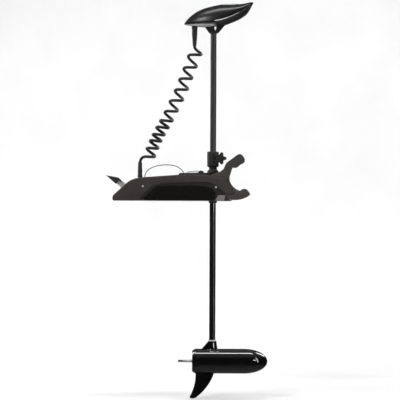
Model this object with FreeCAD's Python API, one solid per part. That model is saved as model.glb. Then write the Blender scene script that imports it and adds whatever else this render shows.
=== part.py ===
# Bow-mount electric trolling motor: deck mount, tilting steering case, shaft, control head and
# motor pod, deployed with the shaft upright.
# Millimetres. +Z up, +X towards the bow, +Y to the mount's far side. The origin is the centre of
# the deck bolt pattern on the deck plane. Files ending in _left lie at -Y, _right at +Y.
import FreeCAD, Part
import math
import os

V = FreeCAD.Vector
X_DIR, Y_DIR, Z_DIR = V(1, 0, 0), V(0, 1, 0), V(0, 0, 1)
os.makedirs("parts", exist_ok=True)

# ---- driving dimensions ----
SHAFT_X = 220.0                # the shaft's axis stands at y = 0
SHAFT_R, SHAFT_IR = 14.3, 11.3
SHAFT_TOP, SHAFT_BOTTOM = 779.0, -688.0
POD_R, POD_Z = 57.2, -744.0    # the pod's axis lies along X
TILT_X, TILT_Z = 174.0, 81.0   # stow hinge axis, along Y
PEDAL_X, PEDAL_Z = -104.0, 67.0  # pedal hinge axis, along Y
HINGE_PIN_R, PEDAL_PIN_R = 5.5, 4.0
LATCH_Z = 28.0                 # axis of the latch bolt's tail and spring
RAIL_IN, RAIL_OUT = 44.0, 48.0     # y of each side rail's faces
COVER_IN, COVER_OUT = 49.0, 78.0   # y of each side cover's faces
CLEARANCE = 0.05


# ---- shape helpers ----
def save(name, *shapes):
    """Writes all the solids of the shapes to one file, turned the right way out."""
    solids = [solid for shape in shapes for solid in shape.Solids]
    for solid in solids:
        if solid.Volume < 0:
            solid.reverse()
    out = solids[0] if len(solids) == 1 else Part.makeCompound(solids)
    out.exportStep("parts/%s.step" % name)


def mirror(shape):
    return shape.mirror(V(0, 0, 0), Y_DIR)


def both_sides(*shapes):
    return list(shapes) + [mirror(shape) for shape in shapes]


def save_pair(name, shape):
    save(name + "_left", shape)
    save(name + "_right", mirror(shape))


def largest(shape):
    return max(shape.Solids, key=lambda solid: solid.Volume)


def box(x0, x1, y0, y1, z0, z1):
    return Part.makeBox(x1 - x0, y1 - y0, z1 - z0, V(x0, y0, z0))


def cyl(radius, start, direction, length):
    return Part.makeCylinder(radius, length, V(*start), direction)


def ring(outer, inner, start, direction, length):
    bore = cyl(inner, V(*start) - direction, direction, length + 2)
    return cyl(outer, start, direction, length).cut(bore)


def polygon_face(points):
    return Part.Face(Part.makePolygon(points + points[:1]))


def prism_xz(points, y0, y1):
    return polygon_face([V(x, y0, z) for x, z in points]).extrude(V(0, y1 - y0, 0))


def turned(points, x=SHAFT_X, y=0):
    """Turns (radius, z) points about an upright axis."""
    return polygon_face([V(x + r, y, z) for r, z in points]).revolve(V(x, y, 0), Z_DIR, 360)


def hexagon(radius, x, z):
    angles = [math.radians(60 * i) for i in range(6)]
    return [(x + radius * math.cos(a), z + radius * math.sin(a)) for a in angles]


def fuse(first, *rest):
    for other in rest:
        first = first.fuse(other)
    # Merging coplanar faces can fail; the plain union is then used.
    try:
        return first.removeSplitter()
    except Exception:
        return first


def fillet(shape, radius, pick):
    """Rounds the picked edges, with a smaller radius or not at all where the kernel refuses."""
    edges = [e for e in shape.Edges if pick(e)]
    for r in (radius, radius * 0.6, radius * 0.35):
        # makeFillet raises when the radius doesn't fit; the next one is then tried.
        try:
            rounded = shape.makeFillet(r, edges)
            if rounded.isValid() and rounded.Volume > 0 and len(rounded.Solids) == 1:
                return rounded
        except Exception:
            pass
    return shape


# Edge selectors for fillet.
def on_y(y):
    return lambda e: abs(e.CenterOfMass.y - y) < 0.01


def off_middle(half, middle=0):
    return lambda e: abs(abs(e.CenterOfMass.y - middle) - half) < 0.01


def upright(length):
    return lambda e: abs(e.Vertexes[0].Z - e.Vertexes[-1].Z) > length


# ---- outlines ----
# An outline is a closed list of runs of (x, z) points. Each run carries on from the last point
# of the run before it: one point makes a straight line, more make a smooth curve.
def spline(points):
    curve = Part.BSplineCurve()
    curve.interpolate(points)
    return curve.toShape()


def segments(outline):
    return [[outline[i - 1][-1]] + run for i, run in enumerate(outline)]


def plate(outline, y0, y1):
    edges = []
    for segment in segments(outline):
        points = [V(x, y0, z) for x, z in segment]
        edges.append(Part.makeLine(*points) if len(points) == 2 else spline(points))
    return Part.Face(Part.Wire(edges)).extrude(V(0, y1 - y0, 0))


def sample(outline):
    """The outline as one polygon, anticlockwise."""
    points = []
    for segment in segments(outline):
        if len(segment) == 2:
            points.append(segment[0])
        else:
            curve = spline([V(x, 0, z) for x, z in segment])
            points += [(p.x, p.z) for p in curve.discretize(4 * len(segment))[:-1]]
    area = sum(a[0] * b[1] - b[0] * a[1] for a, b in zip(points, points[1:] + points[:1]))
    return points if area > 0 else points[::-1]


def inset(points, distance):
    """Moves every side of an anticlockwise polygon inwards."""
    moved = []
    for i, (bx, bz) in enumerate(points):
        (ax, az), (cx, cz) = points[i - 1], points[(i + 1) % len(points)]
        before, after = math.hypot(bx - ax, bz - az), math.hypot(cx - bx, cz - bz)
        nx0, nz0 = -(bz - az) / before, (bx - ax) / before
        nx1, nz1 = -(cz - bz) / after, (cx - bx) / after
        k = distance / (1 + nx0 * nx1 + nz0 * nz1)
        moved.append((bx + k * (nx0 + nx1), bz + k * (nz0 + nz1)))
    return moved


COVER = [
    [(-242.5, 4), (-244.1, 11.6), (-242.7, 20.5), (-236.5, 29.5)],
    [(-179.0, 81.8)],
    [(-165.0, 92.0), (-151.1, 98.9), (-137.1, 103.4), (-118.5, 107.0), (-90.6, 109.9),
     (-25.5, 114.6), (21.0, 118.1), (67.5, 120.9), (114.0, 122.6), (160.5, 122.8),
     (193.0, 120.9), (216.3, 116.4), (244.2, 110.5), (272.0, 105.0)],
    [(283.0, 97.5), (292.1, 87.0), (305.6, 64.0), (323.2, 33.5)],
    [(287.4, 27.4)], [(280.0, 0)], [(-236.6, 0)],
]
COVER_POCKET = [
    [(-111.1, 18.0), (-84.6, 45.6), (-57.6, 66.4), (-26.5, 77.6), (26.6, 83.2), (98.2, 86.5),
     (164.7, 87.4), (204.7, 85.6), (231.6, 74.4), (258.1, 54.4), (280.4, 33.0)],
    [(272.0, 0)], [(-121.0, 0)],
]
PANEL = [
    [(-97.5, 10.0), (-95.7, 18.6)],
    [(-81.0, 33.0), (-66.9, 46.6), (-52.0, 58.5), (-35.8, 66.0), (-8.0, 70.6), (26.6, 72.1),
     (73.0, 72.6), (120.0, 72.1), (155.0, 70.6), (182.2, 67.4), (209.5, 59.6), (226.0, 45.9),
     (231.0, 29.2)],
    [(223.5, 3.3)], [(-93.4, 3.3)],
]
JAW = [
    [(231.0, 126.8), (252.6, 137.0), (264.5, 145.5), (271.8, 155.0), (276.0, 165.0),
     (281.0, 175.4), (290.0, 184.0), (301.5, 191.6), (314.0, 201.2), (326.9, 210.6),
     (334.0, 215.3), (341.5, 217.4), (349.5, 215.9), (357.0, 209.8), (364.2, 199.5),
     (367.0, 188.0), (364.0, 179.0), (357.0, 174.4)],
    [(351.0, 172.0), (343.4, 166.4), (336.9, 160.0), (330.5, 156.4), (323.0, 155.6),
     (315.0, 157.6)],
    [(309.6, 151.5), (305.8, 143.5), (303.6, 134.9), (300.6, 124.5), (297.2, 114.0),
     (296.4, 103.0), (299.1, 89.7), (307.4, 74.3), (322.0, 59.4), (336.0, 51.2), (348.5, 48.6)],
    [(353.5, 53.6), (361.0, 57.0), (369.0, 57.2), (376.6, 54.0), (383.4, 46.8), (389.6, 37.8),
     (391.8, 31.6), (386.5, 25.2), (371.5, 16.3), (351.1, 9.0), (332.0, 5.6), (313.9, 5.0)],
    [(262.0, 12.0)], [(228.0, 30.0)], [(212.0, 70.0)], [(209.8, 119.0)],
]
SKEG = [   # x from the shaft
    [(-76.6, -800.0), (-76.8, -815.0), (-78.4, -835.0), (-82.0, -855.0), (-87.8, -874.0),
     (-94.6, -892.0), (-101.2, -906.0)],
    [(-103.4, -911.5), (-101.5, -915.6), (-96.0, -917.0)],
    [(-84.0, -917.0)],
    [(-78.0, -915.4), (-68.0, -908.6), (-55.0, -898.0), (-38.6, -881.2), (-23.4, -863.0),
     (-10.6, -844.0), (-0.6, -825.0), (6.8, -807.0), (11.0, -785.0)],
    [(-77.5, -785.0)],
]

# ---- mount: side covers ----
COVER_SCREWS = [(-103.6, 67.0, -COVER_OUT), (234.0, 64.0, -COVER_OUT + 3.5)]  # x, z, face y
JAW_SCREWS = [(240.0, 58.0), (262.0, 30.0), (276.0, 74.0)]                    # x, z
JAW_SCREW_R = 2.5
CABLE_Y = -62.0            # cord and steering lead enter the top of the -Y cover
CORD_X = -117.0
LEAD_X0, LEAD_X1 = -94.0, 84.0
LEAD_HOLE_R = 2.4


def side_cover():
    cover = plate(COVER, -COVER_IN, -COVER_OUT)
    outer_face = on_y(-COVER_OUT)
    cover = fillet(cover, 6.0, lambda e: outer_face(e) and e.CenterOfMass.z > 1)
    cover = cover.cut(prism_xz(inset(sample(COVER), 3.2), -COVER_IN + 1, -COVER_OUT + 7.6))
    cover = cover.cut(plate(COVER_POCKET, -COVER_OUT - 1, -COVER_OUT + 3.5))
    for x, z, _ in COVER_SCREWS:
        cover = cover.cut(cyl(2.6, (x, -COVER_OUT - 1, z), Y_DIR, 20))
    cover = cover.cut(box(-229.5, 290, -76.3, -40, -1, 6.06))   # room for the base plate
    return cover.cut(prism_xz(inset(sample(JAW), -0.3), -52.3, -48.0))


plain_cover = side_cover()
near_cover = plain_cover.cut(cyl(8.0, (CORD_X, CABLE_Y, 80), Z_DIR, 60))
for x in (LEAD_X0, LEAD_X1):
    near_cover = near_cover.cut(cyl(LEAD_HOLE_R, (x, CABLE_Y, 90), Z_DIR, 60))
save("side_cover_left", near_cover)
save("side_cover_right", mirror(plain_cover))

# ---- mount: cradle jaws and their round pads ----
PADS = [(322.0, 166.5, 14.0), (364.5, 46.0, 13.0)]   # x, z, radius
PAD_Y0, PAD_Y1 = -71.0, -54.0
PAD_GAP = 0.03


def cut_jaw_screw_holes(shape):
    for x, z in JAW_SCREWS:
        shape = shape.cut(cyl(JAW_SCREW_R + CLEARANCE, (x, -60, z), Y_DIR, 20))
    return shape


def cradle_jaw():
    jaw = fillet(plate(JAW, -74.0, -50.0), 3.0, on_y(-74.0))
    jaw = jaw.cut(prism_xz(inset(sample(COVER), -0.3), -80, -52.0))
    jaw = fuse(jaw, plate(JAW, -52.0, -48.15))   # web between cover and rail
    jaw = jaw.cut(box(-300, 308, -77, -40, -1, 6.05))
    jaw = cut_jaw_screw_holes(jaw)
    for x, z, radius in PADS:
        length = PAD_Y1 - PAD_Y0 + 2 * PAD_GAP
        jaw = jaw.cut(cyl(radius + PAD_GAP, (x, PAD_Y0 - PAD_GAP, z), Y_DIR, length))
    return jaw


def cradle_pad(x, z, radius):
    disc = cyl(radius, (x, PAD_Y0, z), Y_DIR, PAD_Y1 - PAD_Y0)
    return plate(JAW, PAD_Y0, PAD_Y1).common(disc)


save_pair("cradle_jaw", cradle_jaw())
save("cradle_pads", *both_sides(*[cradle_pad(*row) for row in PADS]))

# ---- mount: base plate, with a fork at the bow end ----
BASE_X0, BASE_X1, BASE_Y, BASE_TOP = -229, 306, 76, 6
FORK_X, FORK_Y = 135, 43.5
BOLT_DX, BOLT_DY, BOLT_R = 230.0, 62.0, 4.25


def base_plate():
    base = box(BASE_X0, BASE_X1, -BASE_Y, BASE_Y, 0, BASE_TOP)
    base = base.cut(box(FORK_X, 400, -FORK_Y, FORK_Y, -1, BASE_TOP + 1))
    for x in (-BOLT_DX / 2, BOLT_DX / 2):
        for y in (-BOLT_DY / 2, BOLT_DY / 2):
            base = base.cut(cyl(BOLT_R, (x, y, -1), Z_DIR, BASE_TOP + 2))
    tall = upright(5)
    return fillet(base, 12, lambda e: tall(e) and abs(abs(e.CenterOfMass.y) - BASE_Y) < 0.1)


save("base_plate", base_plate())

# ---- mount: side panels and corner trims ----
PANEL_Y = -COVER_OUT + 0.6
TRIM_Y = -COVER_OUT + 0.4
side_room = BASE_Y + CLEARANCE
plate_room = box(BASE_X0 - 0.5, BASE_X1 + 0.5, -side_room, side_room, -1, BASE_TOP + CLEARANCE)
panel = fillet(plate(PANEL, PANEL_Y, PANEL_Y + 2.85), 0.9, on_y(PANEL_Y))
save_pair("side_panel", panel.cut(plate_room))

trim = prism_xz([(244.0, 27.4), (277.5, 27.4), (271.0, 1.5), (231.0, 1.5)], TRIM_Y, TRIM_Y + 3)
save("corner_trims", *both_sides(trim.cut(plate_room)))

# ---- mount: side rails ----
RAIL = [   # x, z
    (-200, 6), (296, 6), (296, 60), (272, 96), (240, 104), (206, 128), (150, 131), (66, 129),
    (52, 112), (-60, 104), (-130, 96), (-168, 76), (-200, 44),
]
BUSH_R = 8.0


def side_rail():
    foot = box(-200, 268, -60, -RAIL_IN, 6, 9)
    top_pad = box(70, 204, -58, -RAIL_OUT + 0.5, 124.2, 129.5)
    rail = fuse(prism_xz(RAIL, -RAIL_OUT, -RAIL_IN), foot, top_pad)
    rail = rail.cut(cyl(BUSH_R + CLEARANCE, (TILT_X, -70, TILT_Z), Y_DIR, 40))
    rail = rail.cut(cyl(PEDAL_PIN_R + CLEARANCE, (PEDAL_X, -70, PEDAL_Z), Y_DIR, 40))
    for x in (20, -40, 120):
        rail = rail.cut(cyl(9, (x, -70, 62), Y_DIR, 40))
    rail = cut_jaw_screw_holes(rail)
    for x in (78, 196):
        rail = rail.cut(cyl(2.0 + CLEARANCE, (x, -53, 110), Z_DIR, 40))
    return rail


save_pair("side_rail", side_rail())

# ---- mount: hinge hardware ----
bore = HINGE_PIN_R + CLEARANCE
bush = fuse(
    ring(BUSH_R, bore, (TILT_X, -RAIL_OUT, TILT_Z), Y_DIR, 4.2),
    ring(11.0, bore, (TILT_X, -43.9, TILT_Z), Y_DIR, 1.1))
save("tilt_bushings", *both_sides(bush))

tilt_pin = fuse(
    cyl(HINGE_PIN_R, (TILT_X, -48.1, TILT_Z), Y_DIR, 18.1),
    cyl(9.0, (TILT_X, -51.6, TILT_Z), Y_DIR, 3.5))
tilt_pin = tilt_pin.cut(cyl(3.0, (TILT_X, -52.6, TILT_Z), Y_DIR, 3.0))
pedal_pin = fuse(
    cyl(PEDAL_PIN_R, (PEDAL_X, -49.0, PEDAL_Z), Y_DIR, 98.0),
    cyl(7.0, (PEDAL_X, -50.6, PEDAL_Z), Y_DIR, 2.5),
    cyl(7.0, (PEDAL_X, 48.1, PEDAL_Z), Y_DIR, 2.5))
save("hinge_pins", *both_sides(tilt_pin), pedal_pin)


# ---- mount: latch guide and spring ----
def latch_guide():
    guide = fillet(box(80, 125, -20, 20, BASE_TOP, 40), 4.0, upright(20))
    guide = guide.cut(box(70, 135, -7.1, 7.1, 21.9, 34.1))
    post = box(22, 28, -14, 14, BASE_TOP, 42).cut(cyl(2.7, (20, 0, LATCH_Z), X_DIR, 10))
    foot = box(22, 80.5, -14, 14, BASE_TOP, 9.0)
    return fuse(guide, post, foot)


def latch_spring(radius, wire_radius, pitch, turns, x):
    """Made along Z, then laid over along X."""
    path = Part.Wire(Part.makeHelix(pitch, pitch * turns, radius).Edges)
    profile = Part.Wire([Part.makeCircle(wire_radius, V(radius, 0, 0), Y_DIR)])
    coil = path.makePipeShell([profile], True, True)
    coil.rotate(V(0, 0, 0), Y_DIR, 90)
    coil.translate(V(x, 0, LATCH_Z))
    return coil


save("latch_guide", latch_guide())
save("latch_spring", latch_spring(radius=5.2, wire_radius=0.7, pitch=3.9, turns=7.5, x=29.2))


# ---- mount: fasteners ----
def cover_screw(x, z, face_y):
    head_y = face_y - 1.4
    head = fillet(cyl(4.3, (x, head_y, z), Y_DIR, 1.4), 0.9, on_y(head_y))
    shank = cyl(2.5, (x, face_y - 0.2, z), Y_DIR, -66.0 - face_y)
    screw = fuse(head, shank, cyl(4.6, (x, -70.3, z), Y_DIR, 3.4))
    return screw.cut(prism_xz(hexagon(1.55, x, z), face_y - 2, face_y + 0.8))


def jaw_screw(x, z):
    shank = cyl(JAW_SCREW_R, (x, -52.2, z), Y_DIR, 7.9)
    screw = fuse(shank, cyl(4.4, (x, -54.6, z), Y_DIR, 2.5))
    return screw.cut(cyl(1.6, (x, -55, z), Y_DIR, 1.6))


screws = [cover_screw(*row) for row in COVER_SCREWS] + [jaw_screw(*row) for row in JAW_SCREWS]
save("cover_screws", *both_sides(*screws))

# ---- mount: rubber rests on top of the rails ----
BUMPER = [   # x, z
    (151, 129.6), (178, 129.6), (177, 135), (173, 139), (168, 140.6), (161, 140.6), (156, 139),
    (152, 135),
]
REST_BAR = [(96, 129.55), (103, 129.55), (107, 133.6), (150.8, 137.6), (150.8, 142.2), (104, 138.4)]
bumper_sides = off_middle(4.475, middle=-52.525)
bumper = prism_xz(BUMPER, -57.0, -48.05)
bumper = fillet(bumper, 1.5, lambda e: bumper_sides(e) and e.CenterOfMass.z > 130)
save("rest_bumpers", *both_sides(bumper))
bar = fillet(prism_xz(REST_BAR, -55.0, -50.0), 1.0, off_middle(2.5, middle=-52.5))
save("rest_bars", *both_sides(bar))

# ---- steering case and lid ----
CASE_X0, CASE_X1, CASE_Y, CASE_Z0, CASE_Z1 = 145.0, 256.0, 40.0, 12.0, 128.0
CASE_CORNER = 9.0
WALL = 4
LID_TOP = CASE_Z1 + 3
GEAR_MODULE, GEAR_TEETH, PINION_TEETH = 1.5, 40, 16
PINION_X = SHAFT_X - (GEAR_MODULE * (GEAR_TEETH + PINION_TEETH) / 2 + 0.1)
PINION_SHAFT_R = 3.0
BEARING_SEAT_R = 21.0
SEAT_BOSS_R = 26.0
SLEEVE_R = 16.6
LID_SCREW_R = 1.9
LID_SCREWS = [(x, y) for x in (CASE_X0 + 7.5, CASE_X1 - 7.5)
              for y in (-CASE_Y + 7.5, CASE_Y - 7.5)]


def steering_case():
    case = box(CASE_X0, CASE_X1, -CASE_Y, CASE_Y, CASE_Z0, CASE_Z1)
    case = fillet(case, CASE_CORNER, upright(50))
    inner_y = CASE_Y - WALL
    cavity = box(CASE_X0 + WALL, CASE_X1 - WALL, -inner_y, inner_y, CASE_Z0 + WALL, CASE_Z1 + 1)
    case = case.cut(fillet(cavity, 6.0, upright(50)))
    bosses = [cyl(12.0, (TILT_X, y, TILT_Z), Y_DIR, 14.5) for y in (-42.5, 28.0)]
    bosses.append(cyl(SEAT_BOSS_R, (SHAFT_X, 0, CASE_Z0 + 2), Z_DIR, 12.0))
    bosses.append(box(CASE_X0 + 2, CASE_X0 + 12, -14, 14, CASE_Z0 + 2, 42))
    bosses += [cyl(5.5, (x, y, 96), Z_DIR, CASE_Z1 - 96) for x, y in LID_SCREWS]
    case = fuse(case, *bosses)
    case = case.cut(box(CASE_X0 - 1, CASE_X0 + 7, -8.5, 8.5, 20.5, 35.5))   # latch bolt's socket
    case = case.cut(cyl(BEARING_SEAT_R, (SHAFT_X, 0, CASE_Z0 - 1), Z_DIR, 20))
    for y in (-44, 27):
        case = case.cut(cyl(HINGE_PIN_R + CLEARANCE, (TILT_X, y, TILT_Z), Y_DIR, 17))
    for x, y in LID_SCREWS:
        case = case.cut(cyl(LID_SCREW_R + CLEARANCE, (x, y, 104), Z_DIR, 30))
    return case.cut(cyl(3.0, (CASE_X1 - 6, 0, 40), X_DIR, 10))


def case_lid():
    lid = box(CASE_X0, CASE_X1, -CASE_Y, CASE_Y, CASE_Z1 + CLEARANCE, LID_TOP)
    lid = fillet(lid, CASE_CORNER, upright(2))
    seat_boss = cyl(SEAT_BOSS_R, (SHAFT_X, 0, 110), Z_DIR, 20)
    lid = fuse(lid, seat_boss, cyl(7.5, (PINION_X, 0, 108), Z_DIR, 22))
    lid = lid.cut(cyl(BEARING_SEAT_R, (SHAFT_X, 0, 105), Z_DIR, 17.2))
    lid = lid.cut(cyl(17.1, (SHAFT_X, 0, 100), Z_DIR, 40))
    lid = lid.cut(cyl(PINION_SHAFT_R + CLEARANCE, (PINION_X, 0, 100), Z_DIR, 20))
    for x, y in LID_SCREWS:
        lid = lid.cut(cyl(LID_SCREW_R + CLEARANCE, (x, y, 100), Z_DIR, 40))
    return lid


def lid_screw(x, y):
    head = cyl(3.6, (x, y, LID_TOP + CLEARANCE), Z_DIR, 2.4)
    screw = fuse(cyl(LID_SCREW_R, (x, y, 106), Z_DIR, 25.5), head)
    return screw.cut(cyl(1.4, (x, y, CASE_Z1 + 4), Z_DIR, 3))


save("steering_case", steering_case())
save("case_lid", case_lid())
save("lid_screws", *[lid_screw(x, y) for x, y in LID_SCREWS])

GAITER = [   # radius, z
    (17.2, LID_TOP + CLEARANCE), (26.7, LID_TOP + CLEARANCE), (26.7, 134.0), (25.0, 135.0),
    (26.4, 136.0), (26.2, 138.5), (24.2, 139.6), (25.2, 140.8), (24.6, 143.0), (20.5, 144.6),
    (18.6, 146.8), (18.4, 155.4), (16.85, 155.4), (16.85, 142.0), (17.2, 141.0),
]
LOWER_BUSHING = [   # radius, z
    (17.1, 11.95), (30.0, 11.95), (30.0, 7.0), (27.0, 4.0), (21.5, 1.0), (19.4, -3.0),
    (18.3, -9.0), (17.1, -9.0),
]
save("upper_gaiter", turned(GAITER))
save("lower_bushing", turned(LOWER_BUSHING))
BEARINGS = [(12.05, 10.0), (112.2, 9.9)]   # foot z, length
save("sleeve_bearings", *[
    ring(BEARING_SEAT_R - 0.05, SLEEVE_R + CLEARANCE, (SHAFT_X, 0, z), Z_DIR, length)
    for z, length in BEARINGS])


# ---- steering motor, sleeve and gears ----
def steering_motor():
    motor = fuse(
        cyl(18.5, (PINION_X, 0, 27.0), Z_DIR, 56.0),
        cyl(6.0, (PINION_X, 0, 83.0), Z_DIR, 3.0),
        cyl(6.0, (PINION_X, 0, 23.5), Z_DIR, 3.6))
    for degrees in range(0, 360, 30):
        a = math.radians(degrees)
        groove_x, groove_y = PINION_X + 18.9 * math.cos(a), 18.9 * math.sin(a)
        motor = motor.cut(cyl(1.2, (groove_x, groove_y, 30), Z_DIR, 50))
    return motor.cut(cyl(PINION_SHAFT_R + CLEARANCE, (PINION_X, 0, 60), Z_DIR, 40))


def motor_plate():
    flat = box(PINION_X - 20, PINION_X + 20, -27.9, 27.9, 83.05, 85.5)
    flat = flat.cut(cyl(6.05, (PINION_X, 0, 80), Z_DIR, 10))
    return flat.cut(cyl(31, (SHAFT_X, 0, 80), Z_DIR, 10))


def gear(teeth, face_width, z, x, bore, phase=0.0, slack=0.16):
    """Involute spur gear, 20 degree pressure angle, thinned by slack for backlash.

    The tooth counts used here put the base circle outside the root circle, so each flank
    starts with a radial step between the two.
    """
    pressure = math.radians(20)
    pitch_r = GEAR_MODULE * teeth / 2
    tip_r = pitch_r + GEAR_MODULE * 0.98
    root_r = pitch_r - 1.25 * GEAR_MODULE
    base_r = pitch_r * math.cos(pressure)

    def involute(angle):
        return math.tan(angle) - angle

    half = math.pi / (2 * teeth) - slack / (2 * pitch_r) + involute(pressure)
    flank = [(root_r, half)]   # radius, angle from the tooth's middle
    for k in range(5):
        r = base_r + (tip_r - base_r) * k / 4
        flank.append((r, half - involute(math.acos(base_r / r))))
    tooth = [(r, -a) for r, a in flank] + flank[::-1]
    points = []
    for i in range(teeth):
        middle = 2 * math.pi * i / teeth + phase
        points += [V(x + r * math.cos(middle + a), r * math.sin(middle + a), z)
                   for r, a in tooth]
    solid = polygon_face(points).extrude(V(0, 0, face_width))
    return solid.cut(cyl(bore, (x, 0, z - 1), Z_DIR, face_width + 2))


save("steering_motor", steering_motor(), motor_plate())

sleeve = ring(SLEEVE_R, SHAFT_R + 0.1, (SHAFT_X, 0, -8.0), Z_DIR, 163.5)
key = box(SHAFT_X - 2.9, SHAFT_X + 2.9, SHAFT_R - 1.1, SHAFT_R + 0.6, 20.0, 120.0)
flange = ring(20.0, SLEEVE_R - 0.5, (SHAFT_X, 0, 24.6), Z_DIR, 3.0)
save("steering_sleeve", fuse(sleeve, key, flange))

gear_bore = SLEEVE_R + 0.01
wheel = gear(GEAR_TEETH, 12.0, z=92.0, x=SHAFT_X, bore=gear_bore)
hub = ring(22.0, gear_bore, (SHAFT_X, 0, 88.0), Z_DIR, 4.2)
save("steering_gear", fuse(wheel, hub))

pinion = gear(PINION_TEETH, 14.0, z=91.0, x=PINION_X, bore=0.9, phase=math.pi / PINION_TEETH)
save("steering_pinion", fuse(
    pinion,
    cyl(PINION_SHAFT_R, (PINION_X, 0, 78.0), Z_DIR, 14.0),
    cyl(PINION_SHAFT_R, (PINION_X, 0, 104.0), Z_DIR, 13.0)))

# ---- depth collar, its nut, screw and star knob ----
CLAMP_X, CLAMP_Z = SHAFT_X + 33.5, 198.0   # clamp screw axis, along Y
CLAMP_R = 3.5
COLLAR = [   # radius, z
    (14.35, 156.0), (18.4, 156.0), (22.0, 158.6), (26.6, 161.5), (27.4, 165.0), (27.4, 171.5),
    (26.2, 172.3), (26.2, 175.0), (27.4, 175.8), (27.4, 226.5), (24.0, 230.0), (14.35, 230.0),
]


def collar_clamp():
    ears = box(SHAFT_X + 20, SHAFT_X + 42, -9, 9, 184, 212)
    ears = fillet(ears, 6.0, lambda e: abs(e.CenterOfMass.x - SHAFT_X - 42) < 0.1
                  and abs(e.CenterOfMass.y) < 1)
    collar = fuse(turned(COLLAR), ears.cut(cyl(20, (SHAFT_X, 0, 180), Z_DIR, 40)))
    collar = collar.cut(box(SHAFT_X, SHAFT_X + 60, -1.2, 1.2, 178, 240))   # clamping slot
    return collar.cut(cyl(CLAMP_R + CLEARANCE, (CLAMP_X, -20, CLAMP_Z), Y_DIR, 40))


def clamp_knob(screw):
    def around(radius, distance, degrees, y, length):
        a = math.radians(degrees)
        x, z = CLAMP_X + distance * math.cos(a), CLAMP_Z + distance * math.sin(a)
        return cyl(radius, (x, y, z), Y_DIR, length)

    lobes = [around(8.3, 20.7, 72 * i, -43.5, 14.0) for i in range(5)]
    star = fuse(cyl(20.5, (CLAMP_X, -43.5, CLAMP_Z), Y_DIR, 14.0), *lobes)
    for i in range(5):
        star = star.cut(around(8.4, 27.6, 72 * i + 36, -45, 20))
    star = fillet(star, 2.5, on_y(-43.5))
    star = fuse(
        star,
        cyl(7.2, (CLAMP_X, -30.0, CLAMP_Z), Y_DIR, 20.4),
        cyl(9.0, (CLAMP_X, -44.6, CLAMP_Z), Y_DIR, 3.0))
    return star.cut(screw).cut(cyl(CLAMP_R, (CLAMP_X, -32.5, CLAMP_Z), Y_DIR, 60))


save("collar_clamp", collar_clamp())
nut = prism_xz(hexagon(7.4, CLAMP_X, CLAMP_Z), 9.05, 14.0)
save("clamp_nut", nut.cut(cyl(CLAMP_R + CLEARANCE, (CLAMP_X, 0, CLAMP_Z), Y_DIR, 20)))
clamp_screw = fuse(
    cyl(CLAMP_R, (CLAMP_X, -36.0, CLAMP_Z), Y_DIR, 52.0),
    prism_xz(hexagon(5.6, CLAMP_X, CLAMP_Z), -36.0, -32.0))
save("clamp_screw", clamp_screw)
save("clamp_knob", clamp_knob(clamp_screw))

# ---- shaft tube, with a keyway on its +Y side ----
tube = ring(SHAFT_R, SHAFT_IR, (SHAFT_X, 0, SHAFT_BOTTOM), Z_DIR, SHAFT_TOP - SHAFT_BOTTOM)
keyway = box(SHAFT_X - 3.0, SHAFT_X + 3.0, SHAFT_R - 1.5, SHAFT_R + 3, -636.0, 764.0)
save("shaft_tube", tube.cut(keyway))

# ---- control head ----
# Each row: x from the shaft, then z of the top, bottom or parting line, or the half width.
HEAD_TOP = [
    (-136, 826.5), (-128, 837), (-114, 852), (-100, 864), (-86, 874), (-72, 882.6), (-58, 889),
    (-44, 894.7), (-30, 899), (-16, 902.6), (-2, 906), (12, 909), (40, 913), (67, 914),
    (95, 914.2), (123, 915.4), (137, 917.6), (151, 920.9), (165, 924), (176, 926), (184, 924),
]
HEAD_BOTTOM = [
    (-136, 819.5), (-128, 817.5), (-105, 814), (-58, 809.6), (-44, 808.6), (21, 814),
    (53.5, 819), (67, 823.5), (81, 828.6), (95, 834), (109, 840), (123, 847), (137, 855.5),
    (151, 866), (165, 884), (176, 905), (184, 919),
]
HEAD_PARTING = [
    (-136, 823), (-44, 823.5), (11, 827), (53, 839), (107, 868), (150, 895), (176, 917),
    (184, 921.5),
]
HEAD_WIDTH = [
    (-136, 18), (-128, 27), (-114, 37), (-100, 45), (-80, 54), (-60, 61), (-30, 69), (0, 73.5),
    (30, 75), (60, 74), (90, 69), (120, 60), (145, 46), (165, 30), (176, 19), (184, 10),
]
OUTER_STATIONS = [-136, -132, -125, -114, -100, -84, -66, -46, -24, 0, 26, 50, 72, 92, 110, 126,
                  140, 152, 162, 171, 178, 184]
INNER_STATIONS = [-122, -100, -66, -24, 26, 72, 110, 140, 162]
HEAD_WALL = 3.2
HEAD_SCREWS = [   # x from the shaft, y, z under the screw's seat
    (-82.0, -30.0, 818.0), (-82.0, 30.0, 818.0), (88.0, -38.0, 842.0), (88.0, 38.0, 842.0),
]
HEAD_SCREW_R = 1.9


def read_table(table, x, column=1):
    """Reads a column at x, on the straight line between two rows."""
    for low, high in zip(table, table[1:]):
        if x <= high[0]:
            rise = high[column] - low[column]
            return low[column] + rise * (x - low[0]) / (high[0] - low[0])


def head_section(x, depth):
    """Twenty points round the head at x, a depth inside its skin."""
    top = read_table(HEAD_TOP, x) - depth
    bottom = read_table(HEAD_BOTTOM, x) + depth
    half_width = read_table(HEAD_WIDTH, x) - depth
    middle = min(max(read_table(HEAD_PARTING, x), bottom + 0.8), top - 0.8)
    points = []
    for i in range(20):
        angle = 2 * math.pi * i / 20
        across, up = math.cos(angle), math.sin(angle)
        y = half_width * math.copysign(abs(across) ** 0.86, across)
        if up >= 0:
            z = middle + (top - middle) * abs(up) ** 0.92
        else:
            z = middle - (middle - bottom) * abs(up) ** 0.8
        points.append(V(SHAFT_X + x, y, z))
    return points


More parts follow.
